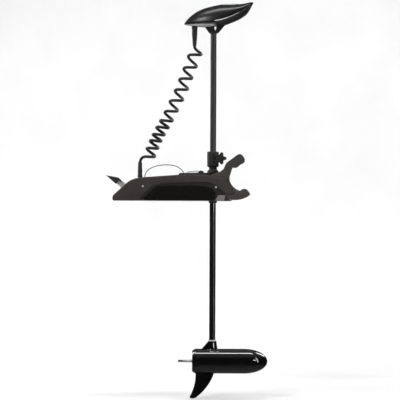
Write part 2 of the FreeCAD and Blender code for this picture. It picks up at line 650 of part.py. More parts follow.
def head_body(depth, stations):
    """A closed skin of small flat faces through the sections."""
    rows = [head_section(x, depth) for x in stations]
    faces = []
    for a, b in zip(rows, rows[1:]):
        for i in range(len(a)):
            j = (i + 1) % len(a)
            faces += [polygon_face([a[i], a[j], b[j]]), polygon_face([a[i], b[j], b[i]])]
    faces += [polygon_face(rows[0]), polygon_face(rows[-1])]
    return Part.Solid(Part.Shell(faces))


head = head_body(0, OUTER_STATIONS)
skin = head.cut(head_body(HEAD_WALL, INNER_STATIONS))
# The spaces below and above the parting line, drawn 1 mm apart to leave the gasket between them.
split = [(SHAFT_X + x, z) for x, z in [(-150, 823)] + HEAD_PARTING[1:-1] + [(186, 925)]]
split_x0, split_x1 = split[0][0], split[-1][0]
below = prism_xz(split[::-1] + [(split_x0, 700), (split_x1, 700)], -100, 100)
above = prism_xz(split + [(split_x1, 1000), (split_x0, 1000)], -100, 100)
below.translate(V(0, 0, -0.5))
above.translate(V(0, 0, 0.5))
lower_shell = skin.common(below)
upper_shell = skin.common(above)
gasket = skin.cut(below).cut(above)
strip = fillet(box(SHAFT_X + 29, SHAFT_X + 114, -21, 21, 895, 930), 6.0, upright(20))
indicator = upper_shell.common(strip)
upper_shell = upper_shell.cut(strip)
head_screws = []
for x_offset, y, seat in HEAD_SCREWS:
    x = SHAFT_X + x_offset
    screw_top = read_table(HEAD_TOP, x_offset) - 22.0
    parting = read_table(HEAD_PARTING, x_offset)
    upper_post = cyl(5.0, (x, y, parting + 0.5), Z_DIR, screw_top + 12 - parting)
    lower_post = cyl(5.0, (x, y, seat - 22), Z_DIR, parting - seat + 21.5)
    hole = cyl(HEAD_SCREW_R + CLEARANCE, (x, y, seat - 30), Z_DIR, screw_top + 5 - seat + 30)
    sink = cyl(3.9, (x, y, seat - 40), Z_DIR, 40)
    upper_shell = fuse(upper_shell, upper_post.common(head).common(above)).cut(hole)
    lower_shell = fuse(lower_shell, lower_post.common(head).common(below)).cut(hole).cut(sink)
    head_screws.append(fuse(
        cyl(HEAD_SCREW_R, (x, y, seat - 0.5), Z_DIR, screw_top - seat),
        cyl(3.6, (x, y, seat - 2.6), Z_DIR, 2.5)))
save("head_lower_shell", lower_shell)
save("head_upper_shell", upper_shell)
save("head_gasket", *[solid for solid in gasket.Solids if solid.Volume > 5])   # no slivers
save("indicator_panel", indicator)
save("head_screws", *head_screws)

# Bracket between head and shaft. x from the shaft, z.
BRACKET = [(-42, 812), (-22, 783.5), (-16, 779.05), (16, 779.05), (25, 784.5), (54, 820),
           (54, 836), (-42, 836)]
BRACKET_WINDOW = [(-4.5, 830), (18.5, 830), (8, 791)]


def head_bracket():
    bracket = prism_xz([(SHAFT_X + x, z) for x, z in BRACKET], -15, 15)
    bracket = bracket.cut(prism_xz([(SHAFT_X + x, z) for x, z in BRACKET_WINDOW], -20, 20))
    sides = off_middle(15)
    bracket = fillet(bracket, 3.0, lambda e: sides(e) and e.CenterOfMass.z < 820)
    spigot = cyl(SHAFT_IR - CLEARANCE, (SHAFT_X, 0, 739.0), Z_DIR, 46.0)
    bracket = fuse(largest(bracket.cut(head)), spigot)
    return bracket.cut(cyl(5.0, (SHAFT_X, 0, 730.0), Z_DIR, 57.0))


BOARD_TOP = 859.6
CHIPS = [   # x from the shaft, y, x size, y size, height
    (-38, -20, 18, 16, 3.0), (-8, -24, 26, 26, 2.4), (28, -18, 14, 20, 8.0),
    (-36, 6, 22, 12, 6.0), (2, 8, 12, 12, 10.0), (24, 10, 20, 12, 4.0),
]


def control_board():
    board = box(SHAFT_X - 48, SHAFT_X + 58, -30, 30, 858.0, BOARD_TOP)
    board = fuse(board, *[
        box(SHAFT_X + x, SHAFT_X + x + length, y, y + width, BOARD_TOP, BOARD_TOP + height)
        for x, y, length, width, height in CHIPS])
    for x in (-42, 52):
        for y in (-25, 25):
            board = board.cut(cyl(1.6, (SHAFT_X + x, y, 850), Z_DIR, 20))
    return board


save("head_bracket", head_bracket())
save("control_board", control_board())

# ---- motor pod: x is from the shaft, radii and z offsets are from the pod's axis ----
HOUSING_IR = 53.2
FIT_R = HOUSING_IR - 0.1       # parts that fit inside the housing
BEARING_R = 14.0
BEARING_SEAT = BEARING_R + 0.03
SEAL_R = 11.0
PROP_SHAFT_R = 6.5
ROD_R, ROD_Z = 2.0, 47.6       # two through bolts, above and below the axis
NECK_TOP = -651.0
NOSE_START = 150               # x where the nose begins to round off


def pod_point(x, radius):
    return V(SHAFT_X + x, 0, POD_Z + radius)


def pod_turned(points):
    """Turns (x, radius) points about the pod's axis."""
    face = polygon_face([pod_point(x, r) for x, r in points])
    return face.revolve(pod_point(0, 0), X_DIR, 360)


def pod_cyl(radius, x, length, y=0, z=0):
    return cyl(radius, (SHAFT_X + x, y, POD_Z + z), X_DIR, length)


def pod_ring(outer, inner, x0, x1):
    return ring(outer, inner, pod_point(x0, 0), X_DIR, x1 - x0)


HOUSING = [   # x, radius
    (-80, HOUSING_IR), (-80, 56.2), (-78.5, POD_R), (24.4, POD_R), (25.6, 56.4), (26, 56.4),
    (26, HOUSING_IR),
]
NECK = [   # radius, z
    (0, -704), (34, -704), (30.0, -694), (25.6, -688), (23.7, -680), (20.2, -655),
    (20.0, NECK_TOP), (0, NECK_TOP),
]
GUSSET = [(-14, NECK_TOP), (-18, NECK_TOP), (-27, -662.0), (-50, -688.0), (-58, -700),
          (-14, -700)]   # x, z
NECK_RING = [   # radius, z
    (SHAFT_R + 0.05, -650.95), (18.6, -650.95), (18.6, -648.6), (17.0, -646.6),
    (SHAFT_R + 0.05, -645.4),
]


def motor_housing():
    gusset = prism_xz([(SHAFT_X + x, z) for x, z in GUSSET], -4.5, 4.5)
    sides = off_middle(4.5)
    gusset = fillet(gusset, 2.2, lambda e: sides(e) and e.CenterOfMass.x < SHAFT_X - 18)
    stem = fuse(turned(NECK), gusset).cut(pod_cyl(55.0, -200, 400))
    stem = stem.cut(box(SHAFT_X + 26.0, SHAFT_X + 40, -40, 40, -760, -686.5))
    housing = fuse(pod_turned(HOUSING), stem)
    housing = housing.cut(cyl(SHAFT_R + 0.02, (SHAFT_X, 0, SHAFT_BOTTOM), Z_DIR, 60))
    housing = housing.cut(cyl(6.0, (SHAFT_X, 0, -700), Z_DIR, 20))
    return housing.cut(cyl(2.0, (SHAFT_X, -40, -668.0), Y_DIR, 80))


save("motor_housing", motor_housing())
save("neck_ring", turned(NECK_RING))

REAR_CAP = [   # x, radius
    (-93, 11.03), (-93, 46.0), (-91, 49.0), (-83.5, 54.6), (-80.05, 55.9), (-80.05, FIT_R),
    (-72, FIT_R), (-72, 50.0), (-76, 46.0), (-80.0, 24.0), (-80.0, BEARING_SEAT),
    (-88.0, BEARING_SEAT), (-88.9, 11.03),
]
NOSE_CORNERS = [(257, 0), (26.05, 0), (26.05, 56.4), (27.2, POD_R), (NOSE_START, POD_R)]


def rounded_end(length, radius, steps):
    """Quarter ellipse of (x, radius) points, ending on the pod's axis."""
    angles = [math.pi / 2 * i / steps for i in range(steps + 1)]
    return [(NOSE_START + length * math.sin(a), radius * math.cos(a)) for a in angles]


def rear_cap():
    cap = pod_turned(REAR_CAP).fuse(pod_ring(20.0, BEARING_SEAT, -80.0, -76.0))
    for z in (ROD_Z, -ROD_Z):
        cap = cap.cut(pod_cyl(ROD_R + CLEARANCE, -100, 134, z=z))
        cap = cap.cut(pod_cyl(4.2, -100, 12.0, z=z))
    return cap


def nose_cone():
    crown = Part.BSplineCurve()
    crown.interpolate([pod_point(x, r) for x, r in rounded_end(107, POD_R, 14)],
                      InitialTangent=V(1, 0, 0), FinalTangent=V(0, 0, -1))
    corners = [pod_point(x, r) for x, r in NOSE_CORNERS]
    lines = [Part.makeLine(a, b) for a, b in zip(corners, corners[1:])]
    face = Part.Face(Part.Wire([crown.toShape()] + lines))
    nose = face.revolve(pod_point(0, 0), X_DIR, 360)
    nose = nose.cut(pod_turned([(38.0, 0), (38.0, 52.6)] + rounded_end(101, 52.6, 8)))
    nose = fuse(nose, pod_ring(FIT_R, 49.6, 18.0, 30.0))
    nose = nose.cut(pod_cyl(BEARING_SEAT, 20, 16.1)).cut(pod_cyl(7.5, 20, 30))
    for z in (ROD_Z, -ROD_Z):
        nose = nose.cut(pod_cyl(ROD_R + CLEARANCE, -100, 134, z=z))
    return nose


save("rear_cap", rear_cap())
save("nose_cone", nose_cone())
save("through_bolts", *[
    fuse(pod_cyl(ROD_R, -89.0, 122.0, z=z), pod_cyl(3.8, -91.0, 2.95, z=z))
    for z in (ROD_Z, -ROD_Z)])

skeg = plate([[(SHAFT_X + x, z) for x, z in run] for run in SKEG], -4.0, 4.0)
skeg_sides = off_middle(4.0)
skeg = fillet(skeg, 2.4, lambda e: skeg_sides(e) and e.CenterOfMass.z < -790)
save("skeg", skeg.cut(pod_cyl(POD_R + 0.02, -150, 300)))


# ---- motor pod: inside ----
def wedge(side):
    """Quarter-turn sector on one side (-1 or 1) of the pod's axis."""
    x = SHAFT_X - 70
    corners = [V(x, 0, POD_Z), V(x, side * 90, POD_Z - 90), V(x, side * 90, POD_Z + 90)]
    return polygon_face(corners).extrude(V(90, 0, 0))


magnet = pod_ring(FIT_R, 46.8, -62.0, 8.0)
save("stator_magnets", magnet.common(wedge(1)), magnet.common(wedge(-1)))
save("bearings_and_seal",
     pod_ring(BEARING_R, PROP_SHAFT_R + 0.03, -87.9, -80.1),
     pod_ring(BEARING_R, PROP_SHAFT_R + 0.03, 27.9, 36.0),
     pod_ring(SEAL_R, PROP_SHAFT_R + 0.03, -92.8, -89.0))

ARMATURE_BORE = PROP_SHAFT_R + 0.02
WINDING_R = 41.0


def armature_stack():
    """Twelve round slots, each open to the rim through a narrow gap."""
    stack = pod_ring(44.5, ARMATURE_BORE, -55.0, 2.0)
    for i in range(12):
        a = math.radians(30 * i)
        stack = stack.cut(pod_cyl(3.6, -60, 70, y=38.5 * math.cos(a), z=38.5 * math.sin(a)))
        gap = box(SHAFT_X - 60, SHAFT_X + 10, -1.2, 1.2, 38, 50)
        gap.rotate(V(SHAFT_X, 0, 0), X_DIR, 90 - 30 * i)
        gap.translate(V(0, 0, POD_Z))
        stack = stack.cut(gap)
    return stack


def winding(x0, x1):
    def rim(e):
        return abs(e.BoundBox.YLength - 2 * WINDING_R) < 0.1
    return fillet(pod_ring(WINDING_R, 20.0, x0, x1), 4.0, rim)


def commutator():
    body = pod_ring(15.0, ARMATURE_BORE, 9.0, 19.0)
    for i in range(12):
        a = math.radians(30 * i)
        body = body.cut(pod_cyl(0.45, 8, 12, y=15 * math.cos(a), z=15 * math.sin(a)))
    return body


save("armature", armature_stack(), winding(-65.5, -55.05), winding(2.05, 8.0), commutator())

brushes, holders = [], []
for side in (-1, 1):
    y0, y1 = sorted((side * 15.15, side * 30.0))
    brushes.append(box(SHAFT_X + 10.5, SHAFT_X + 17.5, y0, y1, POD_Z - 4, POD_Z + 4))
    y0, y1 = sorted((side * 30.05, side * 44.3))
    holders.append(box(SHAFT_X + 10.0, SHAFT_X + 17.8, y0, y1, POD_Z - 6, POD_Z + 6))
brush_ring = fuse(pod_ring(46.0, 40.0, 10.0, 17.8), *holders)
for z in (ROD_Z, -ROD_Z):
    brush_ring = brush_ring.cut(pod_cyl(2.6, 10 - 10, 40, z=z))
save("brush_gear", brush_ring, *brushes)

PROP_SHAFT = [   # x, radius
    (-158, 0), (-158, 4.4), (-157, 5.2), (-136.4, 5.2), (-135.6, 6.0), (-104.5, 6.0),
    (-104.5, 5.6), (-103.2, 5.6), (-103.2, PROP_SHAFT_R), (37.0, PROP_SHAFT_R), (37.5, 6.0),
    (37.5, 0),
]
prop_shaft = pod_turned(PROP_SHAFT)
for i in range(13):   # thread grooves at the -X end
    prop_shaft = prop_shaft.cut(pod_ring(6.5, 4.6, -155.6 + 1.5 * i, -154.9 + 1.5 * i))
save("prop_shaft", prop_shaft.cut(cyl(2.5, (SHAFT_X - 112.0, -10, POD_Z), Y_DIR, 20)))

# ---- pedal: outlines are x, z ----
CHEEK = [(-94, 58), (-94, 76), (-112, 78), (-165, 72), (-186, 78.5), (-207, 96), (-236, 107),
         (-241, 102.5), (-227, 81), (-204, 59.5), (-178, 47), (-112, 56)]
LEVER_WEB = [(-172, 49.6), (-203, 62.0), (-225, 82.6), (-238, 102.5), (-241.0, 101.5),
             (-227.4, 80.6), (-204.4, 59.0), (-173, 46.6)]
LEVER_ARM = [(-110, 66), (-98, 66), (-99, 93), (-100.5, 96.5), (-104, 98), (-107.5, 96.5),
             (-109, 93)]
PEDAL_PAD = [(-275.6, 117.6), (-219.5, 107.6), (-203.0, 92.4), (-208.0, 89.5), (-218.0, 94.5),
             (-228.6, 78.6), (-233.0, 80.0), (-268.0, 110.8)]


def pedal_lever():
    lever = fuse(
        prism_xz(CHEEK, -20, -17),
        prism_xz(CHEEK, 17, 20),
        prism_xz(LEVER_WEB, -20, 20),
        cyl(8.0, (PEDAL_X, -20, PEDAL_Z), Y_DIR, 40))
    for y in (-8.0, 5.0):
        lever = fuse(lever, prism_xz(LEVER_ARM, y, y + 3.0))
    lever = lever.cut(box(PEDAL_X - 2.7, PEDAL_X + 2.7, -10, 10, 85.5, 94.0))
    lever = lever.cut(cyl(PEDAL_PIN_R + CLEARANCE, (PEDAL_X, -30, PEDAL_Z), Y_DIR, 60))
    for y in (-14.0, 14.0):
        lever = lever.cut(cyl(4.0, (-183, y, 20), Z_DIR, 60))
    return lever


def pedal_pad(lever):
    pad = fillet(prism_xz(PEDAL_PAD, -32, 32), 2.0, off_middle(32))
    pad = largest(pad.cut(lever))
    for i in range(7):   # grooves down the sloping top
        x = -267.0 + 6.6 * i
        z = 117.6 - (x + 275.6) * 10.0 / 56.1
        pad = pad.cut(box(x - 1.1, x + 1.1, -28, 28, z - 1.5, z + 3))
    return pad


lever = pedal_lever()
save("pedal_lever", lever)
save("pedal_pad", pedal_pad(lever))

# ---- latch bolt, worked from the pedal by a rod ----
ROD_HEIGHT = 89
bolt = box(60, 144.5, -7, 7, 22, 34)
bolt = bolt.cut(prism_xz([(139, 20), (146, 20), (146, 27)], -10, 10))
save("latch_bolt", fuse(
    bolt,
    box(60, 66, -5, 5, 22, 92),
    cyl(3.0, (PEDAL_X, 0, ROD_HEIGHT), X_DIR, 165),
    cyl(2.5, (12, 0, LATCH_Z), X_DIR, 49),
    cyl(4.8, (PEDAL_X, -4.5, ROD_HEIGHT), Y_DIR, 9),
    cyl(2.5, (PEDAL_X, -9, ROD_HEIGHT), Y_DIR, 18)))

# ---- cord boots ----
BOOT_BORE = 7.0


def ribbed_boot(x, y, z0, z1, r0, r1, ribs):
    """Boot from z0 (radius r0) to z1 (radius r1), ribbed over its outer two thirds."""
    tip = z1 + 0.8 * (1 if z1 > z0 else -1)

    def height(fraction):
        return z0 + (z1 - z0) * (0.34 + 0.66 * fraction)

    def radius(fraction):
        return r0 + (r1 - r0) * fraction

    points = [(BOOT_BORE, z0), (r0, z0)]
    for i in range(ribs):
        start, end = i / ribs, (i + 0.62) / ribs
        groove = radius(end) - 2.0
        points += [(radius(start), height(start)), (radius(end), height(end)),
                   (groove, height((i + 0.66) / ribs)), (groove, height((i + 0.97) / ribs))]
    points += [(r1, height(1.0)), (r1 - 0.6, tip), (BOOT_BORE, tip)]
    return turned(points, x, y)


boot = ribbed_boot(CORD_X, CABLE_Y, z0=100.0, z1=176.0, r0=11.4, r1=9.2, ribs=6)
boot = fuse(
    boot.cut(cyl(20, (CORD_X, CABLE_Y, 96), Z_DIR, 12.5)),
    ring(7.9, BOOT_BORE, (CORD_X, CABLE_Y, 98.0), Z_DIR, 11.0),
    ring(11.4, BOOT_BORE, (CORD_X, CABLE_Y, 108.6), Z_DIR, 10.0))
save("cord_boot_lower", largest(boot.cut(near_cover)))
boot = ribbed_boot(SHAFT_X - 88.0, 0.0, z0=822.0, z1=722.0, r0=13.5, r1=9.4, ribs=7)
save("cord_boot_upper", largest(boot.cut(head)))

# ---- coiled cord, in three lengths ----
COIL = [   # turn, x and z of the coil's centre; turns count from the lowest full turn
    (-1.3, -84.0, 190.0), (-1, -76.0, 203.0), (0, -60.4, 242.7), (1, -46.0, 277.0),
    (2, -32.5, 306.0), (3, -14.8, 339.4), (4, 2.8, 370.1), (5, 25.1, 414.3),
    (6, 48.9, 464.5), (7, 72.1, 515.2), (8, 91.7, 566.4), (9, 111.7, 618.9),
    (10, 133.0, 678.0), (10.4, 141.0, 699.0),
]
CORD_R = 6.8
COIL_LEAN = math.radians(21.0)
POINTS_PER_TURN = 12
END_GAP = 0.5                       # held back at each end that meets another length
TURNS = (-1.1, 7.0, 9.25, 10.25)    # where the lengths start and stop
CORD_FOOT_Z = 177.6


def coil_point(turn):
    x, z = read_table(COIL, turn), read_table(COIL, turn, column=2)
    radius = 23.6 + 3.1 * min(1.0, max(0.0, turn / 10.0))
    y = -60.0 * (700.0 - z) / 500.0
    angle = math.radians(-90) + 2 * math.pi * turn
    along, across = radius * math.cos(angle), radius * math.sin(angle)
    return V(x + along * math.cos(COIL_LEAN), y + across, z - along * math.sin(COIL_LEAN))


def end_gap(turn):
    heading = coil_point(turn + 0.001) - coil_point(turn - 0.001)
    return heading.normalize() * END_GAP


def coil(t0, t1, gap_at_start=True, gap_at_end=True):
    steps = round((t1 - t0) * POINTS_PER_TURN)
    points = [coil_point(t0 + (t1 - t0) * i / steps) for i in range(steps + 1)]
    if gap_at_start:
        points[0] = points[0] + end_gap(t0)
    if gap_at_end:
        points[-1] = points[-1] - end_gap(t1)
    return points


def cord(points):
    curve = Part.BSplineCurve()
    curve.interpolate(points)
    tangent = curve.tangent(curve.FirstParameter)[0]
    profile = Part.Wire([Part.makeCircle(CORD_R, points[0], tangent)])
    return Part.Wire([curve.toShape()]).makePipeShell([profile], True, True)


# The cord bends out of the lower boot into the coil, and out of the coil up to the upper boot.
lower_bend = [
    V(CORD_X + 25.4 * (1 - math.cos(a)), CABLE_Y - 17.3 * (1 - math.cos(a)),
      CORD_FOOT_Z + 26.1 * math.sin(a))
    for a in (0, math.radians(30), math.radians(60))]
upper_bend = [
    V(160.6, 9.6, 686.6), V(153.5, 14.5, 693.0), V(144.5, 13.2, 700.0), V(137.0, 8.0, 706.6),
    V(133.0, 2.6, 713.6), V(132.0, 0.0, 720.8)]
save("coil_cord_1", cord(lower_bend + coil(TURNS[0], TURNS[1], gap_at_start=False)))
save("coil_cord_2", cord(coil(TURNS[1], TURNS[2])))
save("coil_cord_3", cord(coil(TURNS[2], TURNS[3], gap_at_end=False) + upper_bend))

# ---- thin steering lead over the mount, with a gland where it re-enters the cover ----
LEAD = [   # x, y, z
    (LEAD_X0, CABLE_Y, 100.0), (LEAD_X0, CABLE_Y, 118.0), (-84.0, -62.0, 138.0),
    (-60.0, -62.5, 154.0), (-24.0, -63.0, 164.0), (15.0, -63.0, 166.0), (50.0, -62.6, 160.0),
    (72.0, -62.0, 146.0), (LEAD_X1, CABLE_Y, 130.0), (LEAD_X1, CABLE_Y, 104.0),
]
lead_path = Part.Wire([spline([V(*point) for point in LEAD])])
lead_profile = Part.Wire([Part.makeCircle(2.0, V(*LEAD[0]), Z_DIR)])
lead = lead_path.makePipeShell([lead_profile], True, True)
gland = ring(3.9, 2.1, (LEAD_X1, CABLE_Y, 119.0), Z_DIR, 9.0).cut(near_cover)
gland = max(gland.Solids, key=lambda solid: solid.BoundBox.ZMax)
save("steering_lead", lead.cut(near_cover), gland.cut(lead))
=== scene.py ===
import math
import random

import bmesh
import bpy
from mathutils import Matrix, Vector
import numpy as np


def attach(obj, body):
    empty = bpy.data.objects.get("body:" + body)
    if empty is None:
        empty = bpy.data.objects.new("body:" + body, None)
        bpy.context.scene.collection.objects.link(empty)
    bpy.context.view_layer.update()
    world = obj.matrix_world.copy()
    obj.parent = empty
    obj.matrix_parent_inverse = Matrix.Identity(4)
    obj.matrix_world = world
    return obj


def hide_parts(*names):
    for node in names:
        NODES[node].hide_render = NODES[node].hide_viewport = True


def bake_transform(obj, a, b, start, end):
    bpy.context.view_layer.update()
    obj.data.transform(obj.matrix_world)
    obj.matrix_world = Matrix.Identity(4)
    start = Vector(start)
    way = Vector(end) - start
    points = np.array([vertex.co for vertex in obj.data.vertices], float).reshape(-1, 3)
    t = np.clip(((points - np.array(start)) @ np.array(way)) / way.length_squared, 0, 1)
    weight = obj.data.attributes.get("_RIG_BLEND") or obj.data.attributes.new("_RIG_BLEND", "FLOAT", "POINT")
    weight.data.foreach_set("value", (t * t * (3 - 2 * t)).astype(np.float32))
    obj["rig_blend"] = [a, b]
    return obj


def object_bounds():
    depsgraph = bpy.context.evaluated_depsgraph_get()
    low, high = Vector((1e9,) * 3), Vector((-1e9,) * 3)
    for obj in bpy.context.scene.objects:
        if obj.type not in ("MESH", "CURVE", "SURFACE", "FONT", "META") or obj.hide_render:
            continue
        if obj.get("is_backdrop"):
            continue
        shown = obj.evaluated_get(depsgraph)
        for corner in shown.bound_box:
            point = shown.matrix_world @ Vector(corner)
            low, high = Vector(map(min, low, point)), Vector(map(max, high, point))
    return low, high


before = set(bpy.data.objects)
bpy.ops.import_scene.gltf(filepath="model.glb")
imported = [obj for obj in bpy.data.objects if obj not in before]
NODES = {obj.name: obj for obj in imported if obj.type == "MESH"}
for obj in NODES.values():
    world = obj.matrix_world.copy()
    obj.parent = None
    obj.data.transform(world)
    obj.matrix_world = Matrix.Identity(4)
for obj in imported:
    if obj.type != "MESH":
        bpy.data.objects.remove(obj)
cad_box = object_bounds()
random.seed(7)
MM = 0.001
XS = 220.0


# ------------------------------------------------------------------ node helpers
class Mat:
    """A small helper for building one node material."""

    def __init__(self, name):
        self.m = bpy.data.materials.new(name)
        self.m.use_nodes = True
        self.t = self.m.node_tree
        self.b = self.t.nodes["Principled BSDF"]
        self.coord = self.t.nodes.new("ShaderNodeTexCoord").outputs["Object"]

    def node(self, kind, **kw):
        n = self.t.nodes.new(kind)
        for k, v in kw.items():
            setattr(n, k, v)
        return n

    def link(self, a, b):
        self.t.links.new(a, b)

    def put(self, socket, value):
        if hasattr(value, "is_output") or isinstance(value, bpy.types.NodeSocket):
            self.link(value, socket)
        else:
            socket.default_value = value

    def scaled(self, v):
        n = self.node("ShaderNodeVectorMath", operation="MULTIPLY")
        self.link(self.coord, n.inputs[0])
        n.inputs[1].default_value = v
        return n.outputs[0]

    def noise(self, scale, detail=3.0, rough=0.55, stretch=None, distortion=0.0):
        n = self.node("ShaderNodeTexNoise")
        n.inputs["Scale"].default_value = scale
        n.inputs["Detail"].default_value = detail
        n.inputs["Roughness"].default_value = rough
        n.inputs["Distortion"].default_value = distortion
        self.link(self.scaled(stretch) if stretch else self.coord, n.inputs["Vector"])
        return n.outputs["Fac"]

    def voronoi(self, scale, feature="F1"):
        n = self.node("ShaderNodeTexVoronoi", feature=feature)
        n.inputs["Scale"].default_value = scale
        self.link(self.coord, n.inputs["Vector"])
        return n.outputs["Distance"]

    def remap(self, v, a, b, lo, hi):
        n = self.node("ShaderNodeMapRange")
        self.put(n.inputs["Value"], v)
        n.inputs["From Min"].default_value, n.inputs["From Max"].default_value = a, b
        n.inputs["To Min"].default_value, n.inputs["To Max"].default_value = lo, hi
        return n.outputs["Result"]

    def math(self, op, a, b=0.0, c=None):
        n = self.node("ShaderNodeMath", operation=op)
        self.put(n.inputs[0], a)
        self.put(n.inputs[1], b)
        if c is not None:
            self.put(n.inputs[2], c)
        return n.outputs[0]

    def mix(self, f, a, b):
        n = self.node("ShaderNodeMix", data_type="RGBA")
        self.put(n.inputs["Factor"], f)
        self.put(n.inputs[6], a)
        self.put(n.inputs[7], b)
        return n.outputs[2]

    def xyz(self):
        n = self.node("ShaderNodeSeparateXYZ")
        self.link(self.coord, n.inputs[0])
        return n.outputs

    def edge(self, dist=0.0012, lo=0.05, hi=0.5):
        """About 1 on sharp outer edges, 0 elsewhere, from a bevelled normal."""
        n = self.node("ShaderNodeBevel", samples=4)
        n.inputs["Radius"].default_value = dist
        g = self.node("ShaderNodeNewGeometry")
        d = self.node("ShaderNodeVectorMath", operation="DOT_PRODUCT")
        self.link(n.outputs[0], d.inputs[0])
        self.link(g.outputs["Normal"], d.inputs[1])
        return self.remap(d.outputs["Value"], 1.0 - lo, 1.0 - hi, 0.0, 1.0)

    def bump(self, height, strength, distance=0.0006, normal=None):
        n = self.node("ShaderNodeBump")
        n.inputs["Strength"].default_value = strength
        n.inputs["Distance"].default_value = distance
        self.link(height, n.inputs["Height"])
        if normal is not None:
            self.link(normal, n.inputs["Normal"])
        return n.outputs[0]

    def set(self, **kw):
        names = {"base": "Base Color", "metal": "Metallic", "rough": "Roughness", "coat": "Coat Weight", "coat_rough": "Coat Roughness", "spec": "Specular IOR Level", "normal": "Normal", "sheen": "Sheen Weight", "aniso": "Anisotropic", "trans": "Transmission Weight", "emit": "Emission Color", "emit_power": "Emission Strength", "alpha": "Alpha"}
        for k, v in kw.items():
            self.put(self.b.inputs[names[k]], v)
        return self.m


def rgb(r, g, b):
    """Linear colour from display values out of 255."""
    f = lambda c: (c / 255 / 12.92) if c / 255 <= 0.04045 else ((c / 255 + 0.055) / 1.055) ** 2.4
    return (f(r), f(g), f(b), 1.0)


def textured_plastic(name, base, rough=0.52, grain=900.0, depth=0.35, speck=0.35, edge_wear_and_highlight=(1.5, 0.5), spec=0.4):
    """Moulded plastic with an even grain, a slow change of tone, faint specks and lighter edges that are partly
    rubbed wear and partly a painted highlight.
    """
    m = Mat(name)
    slow = m.noise(9.0, 4.0, 0.6)
    fine = m.noise(grain, 3.0, 0.6)
    cell = m.voronoi(grain * 0.8)
    tone = m.remap(slow, 0.3, 0.7, 0.0, 1.0)
    dark = tuple(c * 0.80 for c in base[:3]) + (1.0,)
    light = tuple(min(1, c * 1.22) for c in base[:3]) + (1.0,)
    col = m.mix(tone, dark, light)
    sp = m.remap(cell, 0.0, 0.35, speck, 0.0)
    col = m.mix(sp, col, tuple(min(1, c * 2.4 + 0.01) for c in base[:3]) + (1.0,))
    # Painted shade: the floor of the side covers' recess band is darkened where shade falls in the recess.
    if name == "body_plastic":
        away = m.math("ABSOLUTE", m.xyz()[1])
        recess_painted_shade = m.math("MULTIPLY", m.remap(away, 0.0733, 0.0736, 0.0, 1.0), m.remap(away, 0.0754, 0.0757, 1.0, 0.0))
        col = m.mix(m.math("MULTIPLY", recess_painted_shade, 0.85), col, rgb(24, 22, 20))
    # Lighter sharp edges: partly rubbed wear, partly a painted edge highlight.
    edge = m.math("MULTIPLY", m.edge(0.0011), m.remap(m.noise(60.0, 3.0), 0.35, 0.65, 0.1, 1.0))
    col = m.mix(m.math("MULTIPLY", edge, edge_wear_and_highlight[1]), col, tuple(min(1, c * edge_wear_and_highlight[0] + 0.03) for c in base[:3]) + (1.0,))
    height = m.math("ADD", m.math("MULTIPLY", cell, 0.7), m.math("MULTIPLY", fine, 0.5))
    r = m.remap(m.math("ADD", m.math("MULTIPLY", slow, 0.5), m.math("MULTIPLY", fine, 0.5)), 0.3, 0.7, rough - 0.08, rough + 0.1)
    return m.set(base=col, rough=r, normal=m.bump(height, depth, 0.0005), spec=spec)


def gloss(name, base, rough=0.08, coat=0.6, ripple=0.03, dust=0.25, spec=0.5):
    """Polished or painted gloss: faint orange peel, fine dust and a few hair scratches."""
    m = Mat(name)
    peel = m.noise(260.0, 2.0, 0.5)
    dustn = m.remap(m.noise(700.0, 4.0, 0.7), 0.62, 0.74, 0.0, dust)
    patch = m.remap(m.noise(14.0, 3.0), 0.35, 0.7, 0.0, 1.0)
    scratch = m.remap(m.noise(40.0, 6.0, 0.8, stretch=(0.6, 9.0, 14.0), distortion=0.4), 0.68, 0.72, 0.0, 0.5)
    col = m.mix(m.math("MULTIPLY", dustn, patch), base, tuple(min(1, c * 1.5 + 0.05) for c in base[:3]) + (1.0,))
    # Lighter sharp edges: a painted edge highlight, broken up by noise.
    edge = m.math("MULTIPLY", m.edge(0.0008), m.remap(m.noise(90.0, 3.0), 0.4, 0.7, 0.0, 0.5))
    col = m.mix(edge, col, tuple(min(1, c * 2 + 0.06) for c in base[:3]) + (1.0,))
    r = m.math("ADD", m.remap(patch, 0, 1, rough, rough + 0.05), m.math("MULTIPLY", m.math("ADD", scratch, dustn), 0.25))
    return m.set(base=col, rough=r, coat=coat, coat_rough=rough * 0.6, normal=m.bump(peel, ripple, 0.0004), spec=spec)


def metal(name, base, rough=0.25, brush=(1.0, 60.0, 60.0), depth=0.06, tint=0.6, metallic=1.0):
    """Brushed or turned metal: fine lines along one direction and faint darker stains in patches."""
    m = Mat(name)
    lines = m.noise(110.0, 5.0, 0.75, stretch=brush)
    stain = m.remap(m.noise(35.0, 4.0), 0.45, 0.75, 0.0, 1.0)
    col = m.mix(m.remap(lines, 0.3, 0.7, 0.0, 0.5), base, tuple(c * tint for c in base[:3]) + (1.0,))
    col = m.mix(m.math("MULTIPLY", stain, 0.25), col, tuple(c * 0.5 for c in base[:3]) + (1.0,))
    r = m.remap(m.math("ADD", m.math("MULTIPLY", lines, 0.6), m.math("MULTIPLY", stain, 0.4)), 0.2, 0.8, rough * 0.7, rough * 1.5)
    return m.set(base=col, metal=metallic, rough=r, normal=m.bump(lines, depth, 0.0003))


def rubber(name, base, rough=0.6, depth=0.2, sheen=0.15):
    m = Mat(name)
    fine = m.noise(1500.0, 3.0, 0.6)
    dusty = m.remap(m.noise(45.0, 5.0, 0.65), 0.5, 0.75, 0.0, 0.5)
    col = m.mix(dusty, base, tuple(min(1, c * 1.8 + 0.012) for c in base[:3]) + (1.0,))
    # Lighter edges: a painted edge highlight.
    edge = m.math("MULTIPLY", m.edge(0.0012), 0.35)
    col = m.mix(edge, col, tuple(min(1, c * 2.2 + 0.03) for c in base[:3]) + (1.0,))
    r = m.remap(fine, 0.3, 0.7, rough - 0.08, rough + 0.12)
    return m.set(base=col, rough=r, normal=m.bump(fine, depth, 0.0003), sheen=sheen)


